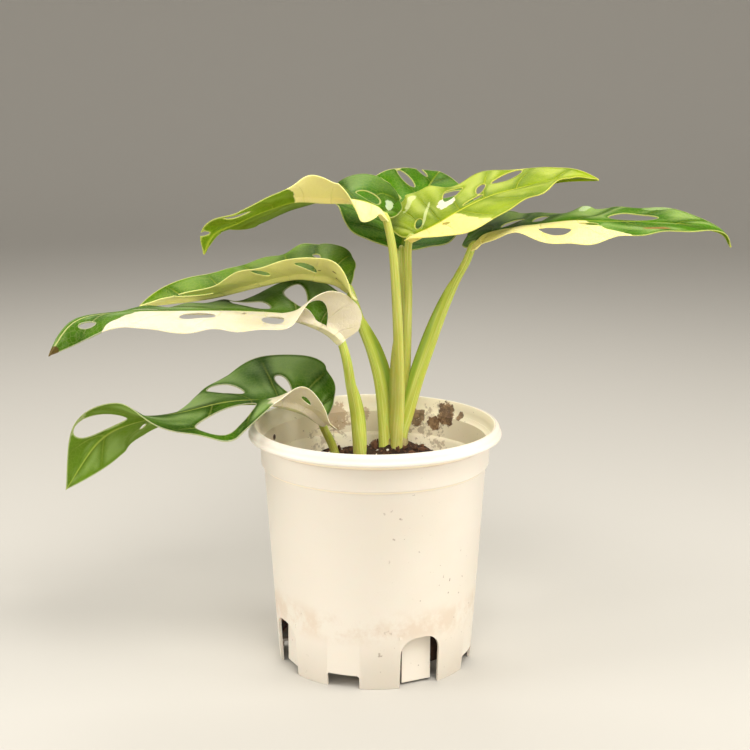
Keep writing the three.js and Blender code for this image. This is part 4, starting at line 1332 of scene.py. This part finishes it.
def blade_finish(name):
    """The layers of one leaf, from the green up to its marks"""
    look, glare_amount, veined, cream_end = LEAF_LOOKS[name]
    deep_green_and_shade, main, under_green, cream, rib, glare = (paint(digits) for digits in LEAF_COLOURS[look])
    f = Finish("blade_" + name)
    along, across, under = f.tag("flat")
    share, row, reach = f.tag("veins")
    edge = f.tag("rim")[0]
    turn = (row * SIDE_VEINS).maths("FRACT") - 0.5
    vein = turn.size().rises(0.46, 0.498) * reach.rises(1.0, 0.6)
    rib_mask = (across.size() + along * 0.003).rises(1.0, 0.55)
    cloud = f.noise(26, 4)
    values = {"Vector": f.place, "Scale": NET_SCALE}
    net = f.add("ShaderNodeTexVoronoi", {"feature": "DISTANCE_TO_EDGE"}, values)
    net_line = net.rises(0.12, 0.0)
    values = {0: row * (SIDE_VEINS * 0.9), 1: reach * 0.7, 2: across.rises(-0.1, 0.1) * 9}
    along_veins = f.add("ShaderNodeCombineXYZ", None, values)
    streak = f.noise(1.0, 2, 0.5, at=along_veins)
    # Deeper green in random clouds, and painted shade: the green deepens towards each vein, in the
    # hollows between the bulges
    green = f.mix(cloud.rises(0.3, 0.7) * 0.6 + turn.size().rises(0.1, 0.5) * 0.4, main, deep_green_and_shade)
    # Painted highlight: pale streaks of glare between the veins
    shine = streak.rises(0.4, 0.58) * reach.rises(0.05, 0.3)
    shine = shine * edge.rises(0.5, 3) * turn.size().rises(0.5, 0.3)
    green = f.mix(shine * glare_amount, green, glare)
    green = f.mix(vein * veined, green, rib)
    green = f.mix(net_line * 0.08, green, rib)
    colour = green
    if cream_end:
        mask = cream_mask(f, share, across, cream_end)
        freckle = f.noise(150, 3, 0.6).rises(0.68, 0.72) * 0.35
        pale = f.mix(f.noise(38, 4, 0.6).rises(0.42, 0.7) * 0.4, cream, CREAM_SHADE)
        pale = f.mix(freckle, pale, rib)
        pale = f.mix(vein * 0.16, pale, rib)
        colour = f.mix(mask, green, pale)
        under_green = f.mix(mask, under_green, cream)
    colour = f.mix(rib_mask * min(0.7, veined * 3), colour, rib)
    colour = f.mix(edge.rises(0.7, 0.2) * 0.4, colour, cream)
    colour = f.mix(under * 0.4, colour, under_green)
    # Marks of age, a white patch and painted highlights, each an oval of colour
    for mark in LEAF_MARKS_AND_HIGHLIGHTS.get(name, []):
        digits, strength = mark[6:]
        colour = f.mix(mark_mask(f, along, across, mark) * strength, colour, paint(digits))
    roughness = 0.34 + cloud * 0.12 + under * 0.12
    relief = (1 - vein) * 0.6 + (1 - net_line) * 0.15 + f.noise(160, 3) * 0.25
    constants = {"Specular IOR Level": 0.03, "Subsurface Weight": 0.35, "Subsurface Scale": 0.0015,
                 "Subsurface Radius": (0.9, 1.0, 0.25)}
    return f.finish(colour, roughness, f.bump(relief, 0.4), **constants)


print("looks:", ", ".join(LEAF_COLOURS))

# %% Make the blades
SLOTS = {"white_left": "leaf_pale", "mid_left": "leaf_pale", "top_left": "leaf_pale",
         "far_right": "leaf_lime", "top_right": "leaf_lime"}
for name in LEAVES:
    points, faces, tags = blade_shape(name)
    blade = make_piece("blade_" + name, points, faces, tags, smooth_below=50)
    dress(blade, blade_finish(name), SLOTS.get(name, "leaf"), "leaf_" + name)

# %% [markdown]
# ## Leaf stalks
# A stalk is a firm, slightly oval rod. Its lower part opens on one side into a sheath that once
# wrapped the next leaf: two thin lips with a groove between them. The ring of points that is swept
# along each path is drawn out on that side to make the lips.

# %% Stalk shapes
STALK_SIDES = 28
STALK_NECK = 3.0
STALK_ROWS = 70
STALK_STEPS = 30
STALK_END = (0.8, 0.3)
LIP_ANGLE = 0.24
LIP_SPREAD = 0.2
LIP_SHARE = 0.25


def sheath_open(sheath, u):
    """How far the sheath stands out at a share of the stalk's length"""
    t = np.clip((u - sheath["from"]) / (sheath["to"] - sheath["from"]), 0, 1)
    return sheath["width"] * np.sin(math.pi * t) ** 0.7


def stalk_shape(name):
    """A tapered rod along its path, drawn out into two lips where its sheath is open"""
    leaf, bend = LEAVES[name], bends[name]
    neck = bend.line[0] + bend.way[0] * STALK_NECK
    line = smooth_path([*leaf["path"], bend.line[0], neck], STALK_STEPS)
    at = lengths_along(line)
    share = np.linspace(0, 1, STALK_ROWS)
    centre = read_line(share * at[-1], at, line)
    tangent = unit(np.gradient(centre, axis=0))
    sheath = leaf["sheath"]
    side = square_to(sheath["side"] if sheath else (0, 1, 0), tangent)
    third = np.cross(tangent, side)
    first, last = leaf["radii"]
    radius = first + (last - first) * share
    radius[-2:] *= STALK_END
    radius = radius[:, None]
    opened = sheath_open(sheath, share) if sheath else share * 0
    angle = np.linspace(0, 2 * math.pi, STALK_SIDES, endpoint=False)
    lips = np.exp(-((np.abs(np.angle(np.exp(1j * angle))) - LIP_ANGLE) / LIP_SPREAD) ** 2)
    wing = opened[:, None] * lips
    reach = radius + wing
    width = radius + LIP_SHARE * (reach - radius)
    points = centre[:, None] + side[:, None] * (reach * np.cos(angle))[..., None]
    points = points + third[:, None] * (width * np.sin(angle))[..., None]
    around = np.tile(angle / 2 / math.pi, STALK_ROWS)
    tags = {"stalk": np.column_stack([np.repeat(share, STALK_SIDES), around, wing.ravel()])}
    return points.reshape(-1, 3), rod_faces(STALK_ROWS, STALK_SIDES), tags


print("points of a stalk:", STALK_SIDES * STALK_ROWS)

# %% Stalk finish
STALK_COLOURS = {
    # base, upper, stripe, sheath inside
    "stalk": ("c3cb52", "b2c146", "e6e796", "6f9424"),
    "warm": ("c5c55a", "b4bb4c", "e2df98", "85963a"),
}
STALK_SPECK = paint("6b5a2c")
WARM_STALKS = ("top_left", "top_right", "back")


def stalk_finish(name, colours):
    """Streaks along the stalk, and a deeper green inside its sheath"""
    base, upper, stripe, inside = (paint(digits) for digits in colours)
    f = Finish(name)
    share, around, wing = f.tag("stalk")
    cloud = f.noise(45, 4)
    lengthwise = f.add("ShaderNodeCombineXYZ", None, {0: share * 1.2, 1: around * 9.0, 2: 0.0})
    streak = f.noise(3.0, 3, 0.6, at=lengthwise)
    colour = f.mix(share.rises(0.1, 0.9) + (cloud - 0.5) * 0.4, base, upper)
    colour = f.mix(streak.rises(0.42, 0.7) * 0.6, colour, stripe)
    colour = f.mix(wing.rises(0.5, 2.0) * 0.75, colour, inside)
    speck = f.noise(700, 2).rises(0.7, 0.76)
    colour = f.mix(speck * 0.35, colour, STALK_SPECK)
    relief = streak * 0.6 + cloud * 0.4
    constants = {"Specular IOR Level": 0.25, "Subsurface Weight": 0.3, "Subsurface Scale": 0.002}
    return f.finish(colour, 0.36 + cloud * 0.14, f.bump(relief, 0.25), **constants)


stalk_finishes = {kind: stalk_finish("stalk_" + kind, colours)
                  for kind, colours in STALK_COLOURS.items()}

# %% Make the stalks
for name in LEAVES:
    kind = "warm" if name in WARM_STALKS else "stalk"
    stalk = make_piece("rod_" + name, *stalk_shape(name), smooth_below=60)
    dress(stalk, stalk_finishes[kind], "stalk", "stalk_" + name)

# %% [markdown]
# ## Crown
# The short stem that all stalks leave from shows only as a pale shoulder between them, so a few
# lumpy rings, one above the other, are enough.

# %% Crown
# radius, height and lean of its rings, from the buried end up
CROWN_SECTIONS = ((4, 76, -2), (6.5, 84, -1), (7.5, 95, 0), (7.3, 101, 0), (6.2, 106, 0), (3, 108.5, 0))
CROWN_SIDES = 40


def crown_shape():
    """Lumpy rings of points, one above the other"""
    sections = smooth_path(CROWN_SECTIONS, 5)
    points = []
    for radius, height, lean in sections:
        for i in range(CROWN_SIDES):
            a = 2 * math.pi * i / CROWN_SIDES
            bump = 1 + 0.07 * noise.noise((3 * math.cos(a), 3 * math.sin(a), height / 6))
            points.append((CROWN[0] + lean + radius * bump * math.cos(a),
                           CROWN[1] + radius * bump * math.sin(a), height))
    return points, rod_faces(len(sections), CROWN_SIDES)


crown = make_piece("crown_shoulder", *crown_shape())
crown_finish = mix_finish("crown_skin", ("8f7c4c", "c7bd86", "e2dcb0"), 120)
dress(crown, crown_finish, "stalk", "crown")

# %% [markdown]
# ## Sizes
# How much the dressed plant's box differs from the measured model's box is printed, in millimetres along
# each axis. The dressed plant has to stay inside the measured model's box.

# %% Print the growth in size
visual_box = [list(corner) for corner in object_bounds()]
grown = [round((visual_box[1][i] - visual_box[0][i] - measured_box[1][i] + measured_box[0][i]) / MM, 2)
         for i in range(3)]
print("pieces:", len(pieces), "growth in mm along x, y and z:", grown)
